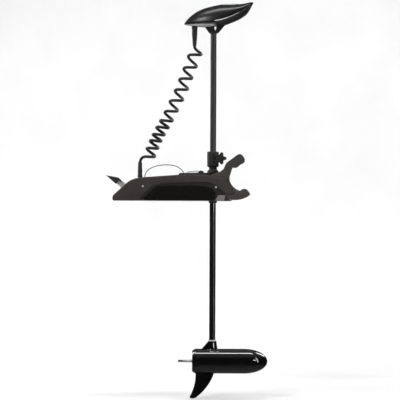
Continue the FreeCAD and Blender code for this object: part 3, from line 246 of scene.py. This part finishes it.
BODY = textured_plastic("body_plastic", rgb(48, 44, 41), 0.56, 820.0, 0.4, 0.3, (1.6, 0.5))
JAW = textured_plastic("jaw_plastic", rgb(58, 55, 52), 0.5, 900.0, 0.3, 0.22, (1.7, 0.5))
FITTING = textured_plastic("fitting_plastic", rgb(34, 33, 32), 0.46, 1000.0, 0.25, 0.15, (1.8, 0.5))
PANEL = gloss("panel_gloss", rgb(20, 19, 18), 0.16, 0.35, 0.02, 0.12)
TRIM = textured_plastic("trim_grey", rgb(108, 105, 102), 0.45, 1100.0, 0.2, 0.12, (1.25, 0.5))
POD = gloss("pod_paint", rgb(10, 9, 9), 0.07, 0.85, 0.035, 0.10)
HEAD = gloss("head_plastic", rgb(18, 17, 17), 0.24, 0.2, 0.03, 0.08)
SHAFT = gloss("shaft_black", rgb(22, 21, 21), 0.2, 0.55, 0.02, 0.12)
RUBBER = rubber("rubber", rgb(26, 25, 25))
CORD = rubber("cord_jacket", rgb(22, 21, 21), 0.34, 0.12, 0.05)
STEEL = metal("bright_steel", rgb(232, 233, 235), 0.36, (1.0, 30.0, 30.0), 0.06, 0.85, 0.4)
TURNED = metal("turned_steel", rgb(206, 205, 203), 0.16, (60.0, 1.0, 1.0))
PLATE = metal("plated_steel", rgb(150, 150, 154), 0.3)
ALLOY = metal("alloy", rgb(176, 178, 182), 0.34, (3.0, 3.0, 3.0), 0.15)
DECK = textured_plastic("deck_metal", rgb(52, 52, 54), 0.42, 600.0, 0.2, 0.1, (3.0, 0.7))
NYLON = textured_plastic("bearing_plastic", rgb(214, 211, 202), 0.4, 1300.0, 0.1, 0.05, (0.8, 0.3))
MAGNET = textured_plastic("magnet", rgb(98, 98, 100), 0.55, 1500.0, 0.4, 0.2, (1.2, 0.3))
RING = textured_plastic("ring_grey", rgb(176, 176, 176), 0.35, 1300.0, 0.1, 0.08, (1.1, 0.3))


def copper():
    m = Mat("winding")
    w = m.node("ShaderNodeTexWave", wave_type="BANDS", bands_direction="Z")
    w.inputs["Scale"].default_value = 700.0
    w.inputs["Distortion"].default_value = 2.5
    m.link(m.coord, w.inputs["Vector"])
    col = m.mix(w.outputs["Fac"], rgb(150, 82, 42), rgb(206, 130, 74))
    return m.set(base=col, metal=0.8, rough=m.remap(m.noise(200.0), 0.3, 0.7, 0.25, 0.45), normal=m.bump(w.outputs["Fac"], 0.5, 0.0004))


def board():
    m = Mat("board")
    x, y, z = m.xyz()
    grid = m.node("ShaderNodeTexBrick")
    grid.inputs["Scale"].default_value = 90.0
    grid.inputs["Mortar Size"].default_value = 0.06
    m.link(m.coord, grid.inputs["Vector"])
    col = m.mix(grid.outputs["Fac"], rgb(18, 92, 44), rgb(34, 128, 66))
    col = m.mix(m.remap(z, 0.85975, 0.8598, 0.0, 1.0), col, rgb(28, 28, 30))
    return m.set(base=col, rough=m.remap(m.noise(300.0), 0.3, 0.7, 0.25, 0.5), normal=m.bump(m.noise(800.0), 0.1))


def shaft_material():
    """Satin black composite: long fine draw lines, faint rub marks where it slides and a painted sheen on the upper
    part.
    """
    m = Mat("shaft_composite")
    lines = m.noise(150.0, 5.0, 0.7, stretch=(1.0, 1.0, 0.02))
    rub = m.remap(m.noise(26.0, 5.0, 0.7, stretch=(1.0, 1.0, 0.12)), 0.52, 0.72, 0.0, 1.0)
    x, y, z = m.xyz()
    band = m.math("MULTIPLY", m.remap(z, -0.30, 0.0, 0.0, 1.0), m.remap(z, 0.30, 0.65, 1.0, 0.2))
    col = m.mix(m.math("MULTIPLY", rub, m.math("MULTIPLY", band, 0.5)), rgb(17, 16, 16), rgb(52, 50, 49))
    satin_and_painted_sheen = m.remap(z, -0.02, 0.16, 0.0, 1.0)
    # The upper shaft's colour is lifted towards grey: a painted sheen. The satin roughness and thinner coat are the
    # real finish.
    col = m.mix(m.math("MULTIPLY", satin_and_painted_sheen, 0.8), col, rgb(54, 52, 51))
    r = m.math("ADD", m.remap(lines, 0.3, 0.7, 0.08, 0.15), m.math("MULTIPLY", rub, m.math("MULTIPLY", band, 0.16)))
    r = m.math("ADD", r, m.math("MULTIPLY", satin_and_painted_sheen, 0.2))
    return m.set(base=col, rough=r, coat=m.remap(satin_and_painted_sheen, 0, 1, 0.6, 0.15), coat_rough=m.remap(satin_and_painted_sheen, 0, 1, 0.05, 0.25), normal=m.bump(lines, 0.05, 0.0003))


COMPOSITE = shaft_material()
COPPER = copper()
BOARD = board()


def prop_material():
    """Turned steel with a dark threaded tip."""
    m = Mat("prop_shaft_steel")
    x, y, z = m.xyz()
    lines = m.noise(110.0, 5.0, 0.75, stretch=(60.0, 1.0, 1.0))
    tip = m.remap(x, 0.0842, 0.0836, 0.0, 1.0)
    col = m.mix(m.remap(lines, 0.3, 0.7, 0.0, 0.5), rgb(214, 213, 211), rgb(150, 150, 150))
    col = m.mix(tip, col, rgb(44, 43, 42))
    return m.set(base=col, metal=0.55, rough=m.math("ADD", m.remap(lines, 0.3, 0.7, 0.16, 0.3), m.math("MULTIPLY", tip, 0.16)), normal=m.bump(lines, 0.06, 0.0003))


PROP = prop_material()

LOOKS = {
    "base_plate": DECK, "side_rail_left": DECK, "side_rail_right": DECK,
    "side_cover_left": BODY, "side_cover_right": BODY, "side_panel_left": PANEL, "side_panel_right": PANEL,
    "corner_trims": TRIM, "cradle_jaw_left": JAW, "cradle_jaw_right": JAW, "cradle_pads": RUBBER,
    "hinge_pins": STEEL, "tilt_bushings": NYLON, "latch_guide": NYLON, "latch_spring": STEEL, "cover_screws": STEEL,
    "rest_bumpers": RUBBER, "cord_boot_lower": RUBBER, "coil_cord_1": CORD, "steering_lead": CORD,
    "steering_case": FITTING, "case_lid": FITTING, "upper_gaiter": RUBBER, "lower_bushing": FITTING,
    "steering_motor": PLATE, "lid_screws": STEEL, "sleeve_bearings": NYLON, "coil_cord_2": CORD, "steering_pinion": PLATE,
    "steering_sleeve": ALLOY, "steering_gear": NYLON, "coil_cord_3": CORD, "shaft_tube": COMPOSITE, "head_bracket": FITTING,
    "head_lower_shell": HEAD, "head_upper_shell": HEAD, "head_gasket": RUBBER, "control_board": BOARD, "indicator_panel": RING,
    "head_screws": STEEL, "cord_boot_upper": RUBBER, "neck_ring": RING, "motor_housing": POD, "nose_cone": POD, "rear_cap": POD,
    "skeg": POD, "stator_magnets": MAGNET, "brush_gear": COPPER, "through_bolts": STEEL, "bearings_and_seal": PLATE, "rest_bars": STEEL,
    "armature": COPPER, "prop_shaft": PROP, "collar_clamp": FITTING, "clamp_nut": STEEL, "clamp_knob": FITTING, "clamp_screw": STEEL,
    "pedal_lever": STEEL, "pedal_pad": RUBBER, "latch_bolt": STEEL,
}


# ------------------------------------------------------------------ smoothing of the CAD meshes
def smoothing_group():
    g = bpy.data.node_groups.new("weld_and_smooth", "GeometryNodeTree")
    g.interface.new_socket("Geometry", in_out="INPUT", socket_type="NodeSocketGeometry")
    g.interface.new_socket("Geometry", in_out="OUTPUT", socket_type="NodeSocketGeometry")
    gi, go = g.nodes.new("NodeGroupInput"), g.nodes.new("NodeGroupOutput")
    merge = g.nodes.new("GeometryNodeMergeByDistance")
    merge.inputs["Distance"].default_value = 1e-6
    s1 = g.nodes.new("GeometryNodeSetShadeSmooth")
    s1.domain = "FACE"
    s1.inputs["Shade Smooth"].default_value = True
    ang = g.nodes.new("GeometryNodeInputMeshEdgeAngle")
    cmp_ = g.nodes.new("FunctionNodeCompare")
    cmp_.operation = "GREATER_THAN"
    cmp_.inputs[1].default_value = math.radians(32)
    s2 = g.nodes.new("GeometryNodeSetShadeSmooth")
    s2.domain = "EDGE"
    s2.inputs["Shade Smooth"].default_value = False
    g.links.new(gi.outputs[0], merge.inputs["Geometry"])
    g.links.new(merge.outputs[0], s1.inputs["Geometry"])
    g.links.new(s1.outputs[0], s2.inputs["Geometry"])
    g.links.new(ang.outputs["Unsigned Angle"], cmp_.inputs[0])
    g.links.new(cmp_.outputs[0], s2.inputs["Selection"])
    g.links.new(s2.outputs[0], go.inputs[0])
    return g


SMOOTH = smoothing_group()
BEVELS = {"side_cover_left": 0.0, "side_cover_right": 0.0}
for name, o in NODES.items():
    for a in ("custom_normal",):
        if a in o.data.attributes:
            o.data.attributes.remove(o.data.attributes[a])
    o.data.materials.clear()
    o.data.materials.append(LOOKS.get(name, PLATE))
    for p in o.data.polygons:
        p.material_index = 0
    mod = o.modifiers.new("smooth", "NODES")
    mod.node_group = SMOOTH
    width = BEVELS.get(name, 0.0004)
    if width:
        b = o.modifiers.new("edge", "BEVEL")
        b.width = width
        b.segments = 2
        b.limit_method = "ANGLE"
        b.angle_limit = math.radians(40)
        b.harden_normals = False
        b.use_clamp_overlap = True


# ------------------------------------------------------------------ mesh helpers
def add_mesh(name, verts, faces, material, smooth=True):
    me = bpy.data.meshes.new(name)
    me.from_pydata([tuple(c * MM for c in v) for v in verts], [], faces)
    me.validate()
    me.update()
    for p in me.polygons:
        p.use_smooth = smooth
    me.materials.append(material)
    o = bpy.data.objects.new(name, me)
    bpy.context.scene.collection.objects.link(o)
    return o


def grid_faces(rows, cols, wrap=True):
    out = []
    for i in range(rows - 1):
        for j in range(cols if wrap else cols - 1):
            k = (j + 1) % cols
            out.append((i * cols + j, i * cols + k, (i + 1) * cols + k, (i + 1) * cols + j))
    return out


def table(points):
    """Smooth (Hermite) reading of a table of x, value."""
    xs = [p[0] for p in points]
    ys = [p[1] for p in points]
    n = len(xs)
    d = [(ys[i + 1] - ys[i]) / (xs[i + 1] - xs[i]) for i in range(n - 1)]
    m = [d[0]] + [0.0 if d[i - 1] * d[i] <= 0 else 2 * d[i - 1] * d[i] / (d[i - 1] + d[i]) for i in range(1, n - 1)] + [d[-1]]

    def f(x):
        if x <= xs[0]:
            return ys[0]
        if x >= xs[-1]:
            return ys[-1]
        i = max(k for k in range(n - 1) if xs[k] <= x)
        h = xs[i + 1] - xs[i]
        t = (x - xs[i]) / h
        return (2 * t**3 - 3 * t**2 + 1) * ys[i] + (t**3 - 2 * t**2 + t) * h * m[i] + (3 * t**2 - 2 * t**3) * ys[i + 1] + (t**3 - t**2) * h * m[i + 1]

    return f


# ------------------------------------------------------------------ control head
H_TOP = table([(-136, 826.0), (-128, 837), (-114, 852), (-100, 864), (-86, 874), (-72, 882.6), (-58, 889), (-44, 894.7), (-30, 899), (-16, 902.6), (-2, 906), (12, 909), (40, 913), (67, 914), (95, 914.2), (123, 915.4), (137, 917.6), (151, 920.9), (165, 924), (176, 925.6), (184, 924.5)])
H_BOT = table([(-136, 820), (-128, 817.5), (-105, 814), (-58, 809.6), (-44, 808.8), (21, 814), (53.5, 819), (67, 823.5), (81, 828.6), (95, 834), (109, 840), (123, 847), (137, 855.5), (151, 866), (165, 884), (176, 905), (184, 920)])
H_PART = table([(-136, 823), (-44, 823.5), (11, 827), (53, 839), (107, 868), (150, 895), (176, 917), (184, 922)])
H_WIDE = table([(-136, 18), (-128, 27), (-114, 37), (-100, 45), (-80, 54), (-60, 61), (-30, 69), (0, 73.5), (30, 74.8), (60, 74), (90, 69), (120, 60), (145, 46), (165, 30), (176, 19), (184, 10)])


def head_point(x, t, grow=0.0):
    zt, zb, zp, w = H_TOP(x) + grow, H_BOT(x) - grow, H_PART(x), H_WIDE(x) + grow
    zp = min(max(zp, zb + 0.8), zt - 0.8)
    c, q = math.cos(t), math.sin(t)
    y = w * math.copysign(abs(c) ** 0.86, c)
    z = zp + (zt - zp) * abs(q) ** 0.92 if q >= 0 else zp - (zp - zb) * abs(q) ** 0.8
    return (XS + x, y, z)


def head_side(x, z, side=-1, grow=0.3):
    """The point of the head's surface at x_rel, z on the near (side -1) or far side."""
    zt, zp, zb, w = H_TOP(x), H_PART(x), H_BOT(x), H_WIDE(x)
    if z >= zp:
        q = min(1.0, ((z - zp) / (zt - zp)) ** (1 / 0.92))
    else:
        q = min(1.0, ((zp - z) / (zp - zb)) ** (1 / 0.8))
    c = math.sqrt(max(0.0, 1 - q * q))
    return (XS + x, side * (w * c**0.86 + grow), z)


def build_head():
    xs = [-136 + 320 * (0.5 - 0.5 * math.cos(math.pi * i / 110)) for i in range(111)]
    n = 40
    ts = [0.0012 + (math.pi - 0.0024) * j / n for j in range(n + 1)]
    parts = {}
    for label, sign, mat in (("head_upper", 1, HEAD_TOP), ("head_lower", -1, HEAD_UNDER)):
        verts, faces = [], []
        rows = []
        for x in xs:
            row = []
            lip = head_point(x, sign * ts[0])
            row.append((lip[0], lip[1] - math.copysign(1.3, lip[1]), lip[2] + sign * 0.25))
            for t in ts:
                p = head_point(x, sign * t)
                row.append((p[0], p[1], p[2] + sign * 0.35 * (1 - min(1.0, abs(p[2] - H_PART(x)) / 3.0))))
            lip = head_point(x, sign * ts[-1])
            row.append((lip[0], lip[1] - math.copysign(1.3, lip[1]), lip[2] + sign * 0.25))
            rows.append(row)
        cols = len(rows[0])
        for row in rows:
            verts += row
        faces = grid_faces(len(rows), cols, wrap=False)
        if sign < 0:
            faces = [f[::-1] for f in faces]
        faces.append(tuple(range(cols))[::-1] if sign > 0 else tuple(range(cols)))
        last = (len(rows) - 1) * cols
        faces.append(tuple(range(last, last + cols)) if sign > 0 else tuple(range(last, last + cols))[::-1])
        o = add_mesh(label, verts, faces, mat)
        bm = bmesh.new()
        bm.from_mesh(o.data)
        bmesh.ops.recalc_face_normals(bm, faces=bm.faces)
        bm.to_mesh(o.data)
        bm.free()
        sol = o.modifiers.new("wall", "SOLIDIFY")
        sol.thickness = 0.0025
        sol.offset = -1.0
        parts[label] = o
    return parts


def head_top_material():
    """Satin black moulding with a fine grain; the crown is a touch glossier than the flanks."""
    m = Mat("head_shell_upper")
    x, y, z = m.xyz()
    peel = m.noise(320.0, 3.0, 0.55)
    slow = m.noise(12.0, 4.0)
    crown = m.remap(z, 0.84, 0.905, 0.0, 1.0)
    col = m.mix(m.remap(slow, 0.35, 0.65, 0.0, 1.0), rgb(12, 11, 12), rgb(19, 18, 19))
    dust = m.remap(m.noise(900.0, 4.0, 0.7), 0.64, 0.75, 0.0, 0.2)
    col = m.mix(dust, col, rgb(84, 82, 80))
    # Lighter edges: a painted edge highlight.
    edge = m.math("MULTIPLY", m.edge(0.001), 0.4)
    col = m.mix(edge, col, rgb(92, 90, 88))
    r = m.math("ADD", m.remap(crown, 0, 1, 0.36, 0.24), m.remap(peel, 0.3, 0.7, -0.03, 0.05))
    return m.set(base=col, rough=r, coat=0.1, coat_rough=0.2, normal=m.bump(peel, 0.07, 0.0004), spec=0.32)


def head_under_material():
    """Black moulding that turns to a light grey belly under the tail."""
    m = Mat("head_shell_lower")
    x, y, z = m.xyz()
    tail = m.remap(x, 0.235, 0.215, 0.0, 1.0)
    low = m.remap(z, 0.8192, 0.8180, 0.0, 1.0)
    fine = m.noise(1100.0, 3.0, 0.6)
    grey = m.mix(m.remap(m.noise(18.0, 4.0), 0.35, 0.65, 0.0, 1.0), rgb(150, 150, 152), rgb(186, 186, 188))
    black = m.mix(m.remap(fine, 0.3, 0.7, 0.0, 1.0), rgb(24, 23, 23), rgb(40, 39, 38))
    col = m.mix(m.math("MULTIPLY", tail, low), black, grey)
    return m.set(base=col, rough=m.remap(fine, 0.3, 0.7, 0.34, 0.5), normal=m.bump(fine, 0.12, 0.0003), coat=0.1)


HEAD_TOP = head_top_material()
HEAD_UNDER = head_under_material()
parts = build_head()
for o in parts.values():
    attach(o, "shaft")
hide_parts("head_upper_shell", "head_gasket")
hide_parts("head_lower_shell")


def head_window():
    """The pale display window let into the crown of the head."""
    x0, x1 = 29.0, 114.0
    rows, cols = 34, 26
    verts = []
    for i in range(rows):
        u = i / (rows - 1)
        x = x0 + (x1 - x0) * u
        half = 30.0 * (1 - 0.55 * abs(2 * u - 1) ** 5)
        for j in range(cols):
            v = 2 * j / (cols - 1) - 1
            y = half * v
            w = H_WIDE(x)
            c = min(1.0, (abs(y) / w) ** (1 / 0.86))
            q = math.sqrt(1 - c * c)
            zt, zp = H_TOP(x), H_PART(x)
            z = zp + (zt - zp) * q**0.92
            rim = min(1.0, (1 - abs(v)) * 6) * min(1.0, (1 - abs(2 * u - 1)) * 14)
            verts.append((XS + x, y, z + 0.1 + 1.5 * math.sqrt(rim)))
    o = add_mesh("head_window", verts, grid_faces(rows, cols, wrap=False), WINDOW)
    sol = o.modifiers.new("wall", "SOLIDIFY")
    sol.thickness = 0.0022
    sol.offset = -1.0
    return o


def window_material():
    m = Mat("head_window")
    fine = m.noise(900.0, 3.0)
    slow = m.noise(25.0, 4.0)
    col = m.mix(m.remap(slow, 0.35, 0.65, 0.0, 1.0), rgb(196, 196, 198), rgb(222, 222, 224))
    return m.set(base=col, rough=m.remap(fine, 0.3, 0.7, 0.15, 0.3), coat=0.6, coat_rough=0.08, normal=m.bump(fine, 0.03, 0.0003))


WINDOW = window_material()
win = head_window()
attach(win, "shaft")
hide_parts("indicator_panel")


def pinstripe(side):
    """A thin light line moulded along the head's flank, tapering towards the nose."""
    n, cols = 50, 5
    verts = []
    for i in range(n):
        u = i / (n - 1)
        x = 2.0 + 112.0 * u
        z = 833.0 + 3.0 * u + 35.0 * u**1.7
        half = 2.1 * (1 - u) ** 0.8 * min(1.0, u * 8 + 0.1) + 0.45
        for j in range(cols):
            v = 2 * j / (cols - 1) - 1
            verts.append(head_side(x, z + half * v, side, 0.15 + 0.45 * (1 - v * v)))
    o = add_mesh("head_stripe_%s" % ("near" if side < 0 else "far"), verts, grid_faces(n, cols, wrap=False), STRIPE)
    return o


STRIPE = textured_plastic("stripe", rgb(206, 206, 208), 0.32, 1500.0, 0.05, 0.05, (1.1, 0.1))
for side in (-1, 1):
    o = pinstripe(side)
    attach(o, "shaft")


# ------------------------------------------------------------------ coiled cord, boots and lead
COIL = [(-1.3, -84.0, 190.0), (-1, -76.0, 203.0), (0, -60.4, 242.7), (1, -46.0, 277.0), (2, -32.5, 306.0), (3, -14.8, 339.4), (4, 2.8, 370.1), (5, 25.1, 414.3), (6, 48.9, 464.5), (7, 72.1, 515.2), (8, 91.7, 566.4), (9, 111.7, 618.9), (10, 133.0, 678.0), (10.4, 141.0, 699.0)]
COIL_X = table([(t, x) for t, x, z in COIL])
COIL_Z = table([(t, z) for t, x, z in COIL])
CORD_R = 6.8
BL = (-117.0, -62.0)
T1, T2, T3, T4 = -1.1, 7.0, 9.25, 10.25


def coil_point(t):
    x, z = COIL_X(t), COIL_Z(t)
    r = 23.6 + 3.1 * min(1.0, max(0.0, t / 10.0))
    y = -60.0 * (700.0 - z) / 500.0
    a = math.radians(-90) + 2 * math.pi * t
    lean = math.radians(21.0)
    c, q = r * math.cos(a), r * math.sin(a)
    return Vector((x + c * math.cos(lean), y + q, z - c * math.sin(lean)))


def catmull(points, per=14):
    out = []
    p = [points[0]] + list(points) + [points[-1]]
    for i in range(1, len(p) - 2):
        a, b, c, d = p[i - 1], p[i], p[i + 1], p[i + 2]
        steps = max(3, int((c - b).length / 1.6)) if per is None else per
        for k in range(steps):
            t = k / steps
            out.append(0.5 * ((2 * b) + (c - a) * t + (2 * a - 5 * b + 4 * c - d) * t * t + (3 * b - a - 3 * c + d) * t**3))
    out.append(points[-1])
    return out


def even(points, step):
    """The same path with evenly spaced points."""
    length = [0.0]
    for a, b in zip(points, points[1:]):
        length.append(length[-1] + (b - a).length)
    n = max(2, int(round(length[-1] / step)))
    out, i = [], 0
    for k in range(n + 1):
        s = length[-1] * k / n
        while i < len(points) - 2 and length[i + 1] < s:
            i += 1
        f = (s - length[i]) / max(1e-9, length[i + 1] - length[i])
        out.append(points[i].lerp(points[i + 1], min(1.0, f)))
    return out


def tube(name, path, radius, material, sides=20, weights=None):
    """A round tube along a path, with frames carried along it so that it never twists."""
    verts = []
    tangent = (path[1] - path[0]).normalized()
    up = tangent.orthogonal().normalized()
    for i, p in enumerate(path):
        new = (path[min(i + 1, len(path) - 1)] - path[max(i - 1, 0)]).normalized()
        up = (tangent.rotation_difference(new) @ up)
        up = (up - new * up.dot(new)).normalized()
        tangent = new
        side = tangent.cross(up)
        r = radius(i / (len(path) - 1)) if callable(radius) else radius
        for j in range(sides):
            a = 2 * math.pi * j / sides
            v = p + up * (r * math.cos(a)) + side * (r * math.sin(a))
            verts.append((v.x, v.y, v.z))
    faces = grid_faces(len(path), sides)
    faces.append(tuple(range(sides))[::-1])
    last = (len(path) - 1) * sides
    faces.append(tuple(range(last, last + sides)))
    o = add_mesh(name, verts, faces, material)
    o.data.polygons[len(faces) - 1].use_smooth = False
    o.data.polygons[len(faces) - 2].use_smooth = False
    return o


def ring_weights(o, rings, sides, f):
    """Every ring of the tube moves as one, so the cord keeps its round section as it bends."""
    a = o.data.attributes["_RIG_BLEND"]
    for i in range(rings):
        w = f(i / (rings - 1))
        w = min(1.0, max(0.0, w))
        w = w * w * (3 - 2 * w)
        for j in range(sides):
            a.data[i * sides + j].value = w


start_low = [Vector((BL[0], BL[1], z)) for z in (170.0, 177.6)]
start_low += [Vector((BL[0] + 25.4 * (1 - math.cos(a)), BL[1] - 17.3 * (1 - math.cos(a)), 177.6 + 26.1 * math.sin(a))) for a in (math.radians(30), math.radians(60))]
coil_a = [coil_point(T1 + (T2 - T1) * i / 330) for i in range(331)]
path1 = even(catmull(start_low + coil_a[:1], 10)[:-1] + coil_a, 3.2)
path2 = even([coil_point(T2 + (T3 - T2) * i / 110) for i in range(111)], 2.6)
coil_c = [coil_point(T3 + (T4 - T3) * i / 50) for i in range(51)]
top_pts = [Vector(p) for p in ((160.6, 9.6, 686.6), (153.5, 14.5, 693.0), (144.5, 13.2, 700.0), (137.0, 8.0, 706.6), (133.0, 2.6, 713.6), (132.0, 0.0, 720.8), (132.0, 0.0, 728.0))]
path3 = even(coil_c[:-1] + catmull([coil_c[-1]] + top_pts, 16), 1.4)
SIDES = 20
c1 = tube("cord_low", path1, CORD_R, CORD, SIDES)
c2 = tube("cord_mid", path2, CORD_R, CORD, SIDES)
c3 = tube("cord_top", path3, CORD_R, CORD, SIDES)
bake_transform(c1, "mount", "tilt_housing", tuple(path1[0] * MM), tuple(path1[-1] * MM))
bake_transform(c2, "tilt_housing", "steering_sleeve", tuple(path2[0] * MM), tuple(path2[-1] * MM))
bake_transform(c3, "steering_sleeve", "shaft", tuple(path3[0] * MM), tuple(path3[-1] * MM))
inside = next(i for i, p in enumerate(path1) if p.z > 178.0) / (len(path1) - 1)
ring_weights(c1, len(path1), SIDES, lambda u: (u - inside) / (1.0 - inside))
ring_weights(c2, len(path2), SIDES, lambda u: u)
k0 = next(i for i, p in enumerate(path3) if i > len(path3) // 2 and p.z > 694.0) / (len(path3) - 1)
k1 = next(i for i, p in enumerate(path3) if i > len(path3) // 2 and p.z > 721.5) / (len(path3) - 1)
ring_weights(c3, len(path3), SIDES, lambda u: (u - k0) / (k1 - k0))
for o, node in ((c1, "coil_cord_1"), (c2, "coil_cord_2"), (c3, "coil_cord_3")):
    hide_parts(node)


def lathe(name, cx, cy, profile, material, sides=48):
    verts = []
    for r, z in profile:
        for j in range(sides):
            a = 2 * math.pi * j / sides
            verts.append((cx + r * math.cos(a), cy + r * math.sin(a), z))
    o = add_mesh(name, verts, grid_faces(len(profile), sides), material)
    return o


def boot_profile(z0, z1, r0, r1, ribs, collar=9.0):
    """Strain-relief boot: a plain cuff, then rounded ribs that shrink towards the cord."""
    s = 1 if z1 > z0 else -1
    total = abs(z1 - z0)
    pts = [(r0 - 1.2, z0), (r0, z0 + s * 0.8), (r0 + 0.5, z0 + s * 3), (r0 + 0.5, z0 + s * (collar - 1)), (r0 - 0.2, z0 + s * collar)]
    plain = total * 0.34
    for k in range(1, 5):
        f = k / 4
        pts.append((r0 - 0.2 - 0.8 * f, z0 + s * (collar + (plain - collar) * f)))
    rib = (total - plain) / ribs
    for i in range(ribs):
        base = z0 + s * (plain + rib * i)
        ra = r0 + (r1 - r0) * (i + 0.5) / ribs
        for k in range(9):
            f = k / 8
            bulge = math.sin(math.pi * min(1.0, f / 0.7)) ** 0.6 if f < 0.7 else 0.0
            pts.append((ra - 1.0 + 1.3 * bulge, base + s * rib * f))
    pts += [(r1 - 0.3, z1 - s * 1.2), (r1 - 0.4, z1), (7.0, z1 + s * 0.4), (6.95, z1 - s * 6.0)]
    return pts


up_boot = lathe("boot_upper", XS - 88.0, 0.0, boot_profile(813.5, 721.0, 13.5, 8.9, 10, 14.0)[::-1], RUBBER)
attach(up_boot, "shaft")
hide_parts("cord_boot_upper")
low_boot = lathe("boot_lower", BL[0], BL[1], boot_profile(107.2, 177.0, 11.3, 9.2, 7, 8.0), RUBBER)
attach(low_boot, "mount")
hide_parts("cord_boot_lower")
for o in (up_boot, low_boot):
    bm = bmesh.new()
    bm.from_mesh(o.data)
    bmesh.ops.recalc_face_normals(bm, faces=bm.faces)
    bm.to_mesh(o.data)
    bm.free()

# ------------------------------------------------------------------ stage, light and camera
def stage_material():
    m = Mat("floor")
    n = m.noise(3.0, 4.0)
    return m.set(base=m.mix(m.remap(n, 0.3, 0.7, 0, 1), rgb(236, 236, 236), rgb(242, 242, 242)), rough=m.remap(n, 0, 1, 0.55, 0.75))


def build_stage():
    """A pale floor that curves up into a back wall."""
    prof = [(-4.5, 0.0), (1.6, 0.0)]
    for k in range(1, 13):
        a = math.pi / 2 * k / 12
        prof.append((1.6 + 1.4 * math.sin(a), 1.4 * (1 - math.cos(a))))
    prof.append((3.0, 4.2))
    verts, faces = [], []
    for y, z in prof:
        for x in (-4.5, 4.5):
            verts.append((x * 1000, y * 1000, (z - 0.9175) * 1000))
    for i in range(len(prof) - 1):
        faces.append((2 * i, 2 * i + 1, 2 * i + 3, 2 * i + 2))
    return add_mesh("floor", verts, faces, stage_material())


floor = build_stage()
floor.visible_glossy = False
floor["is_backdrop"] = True


def area(name, loc, target, size, size_y, power, colour=(1, 1, 1)):
    l = bpy.data.lights.new(name, "AREA")
    l.shape = "RECTANGLE"
    l.size, l.size_y = size, size_y
    l.energy = power
    l.color = colour
    o = bpy.data.objects.new(name, l)
    o.location = loc
    o.rotation_euler = (Vector(target) - Vector(loc)).to_track_quat("-Z", "Y").to_euler()
    bpy.context.scene.collection.objects.link(o)
    o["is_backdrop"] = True
    return o


area("key", (-1.9, -2.9, 2.4), (0.15, 0, 0.1), 1.0, 0.8, 74)
area("strip", (2.7, -2.5, 0.3), (0.2, 0, 0), 0.22, 3.0, 18)
area("nose", (2.1, -2.7, 0.05), (0.45, 0, -0.72), 0.55, 0.22, 7)
area("top", (0.3, -0.5, 3.3), (0.2, 0, 0), 3.0, 0.5, 62)
area("rim", (-2.4, 1.4, 1.4), (0.2, 0, 0), 0.8, 2.2, 60)
area("far_rim", (2.4, 1.8, 1.8), (0.2, 0, 0), 0.8, 2.0, 50)
low_light = area("low", (0.6, -2.4, -0.85), (0.25, 0, -0.6), 1.6, 0.25, 4)
low_light.visible_glossy = False

world = bpy.data.worlds.new("studio")
bpy.context.scene.world = world
world.use_nodes = True
wt = world.node_tree
bg = wt.nodes["Background"]
lp = wt.nodes.new("ShaderNodeLightPath")
mixn = wt.nodes.new("ShaderNodeMix")
mixn.data_type = "RGBA"
wt.links.new(lp.outputs["Is Camera Ray"], mixn.inputs["Factor"])
mixn.inputs[6].default_value = (0.11, 0.11, 0.113, 1)
mixn.inputs[7].default_value = (1.0, 1.0, 1.0, 1)
soft = wt.nodes.new("ShaderNodeMix")
soft.data_type = "RGBA"
wt.links.new(lp.outputs["Is Glossy Ray"], soft.inputs["Factor"])
soft.inputs[6].default_value = (0.20, 0.20, 0.205, 1)
tc = wt.nodes.new("ShaderNodeTexCoord")
sep = wt.nodes.new("ShaderNodeSeparateXYZ")
wt.links.new(tc.outputs["Generated"], sep.inputs[0])


def ramp(a, b, lo, hi):
    n = wt.nodes.new("ShaderNodeMapRange")
    n.interpolation_type = "SMOOTHSTEP"
    wt.links.new(sep.outputs["Z"], n.inputs["Value"])
    n.inputs["From Min"].default_value, n.inputs["From Max"].default_value = a, b
    n.inputs["To Min"].default_value, n.inputs["To Max"].default_value = lo, hi
    return n.outputs["Result"]


glow = wt.nodes.new("ShaderNodeMath")
glow.operation = "ADD"
wt.links.new(ramp(0.45, 0.98, 0.012, 0.26), glow.inputs[0])
wt.links.new(ramp(-0.30, -0.95, 0.0, 0.15), glow.inputs[1])
wt.links.new(glow.outputs[0], soft.inputs[7])
wt.links.new(soft.outputs[2], mixn.inputs[6])
wt.links.new(mixn.outputs[2], bg.inputs["Color"])
bg.inputs["Strength"].default_value = 1.0

cam = bpy.data.cameras.new("camera")
cam_o = bpy.data.objects.new("camera", cam)
bpy.context.scene.collection.objects.link(cam_o)
DIST = 9.0
cam_o.location = (0.1605, -DIST, 0.0047)
cam_o.rotation_euler = (math.radians(90), math.radians(-0.27), 0)
cam.sensor_width = 36.0
cam.lens = 36.0 * DIST / 1.86
cam.clip_end = 50.0
bpy.context.scene.camera = cam_o

bpy.context.scene.view_settings.view_transform = "Standard"
bpy.context.scene.view_settings.look = "None"

visual_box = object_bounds()
plain = lambda b: [[round(float(c), 6) for c in v] for v in b]
{"cad": plain(cad_box), "visual": plain(visual_box)}
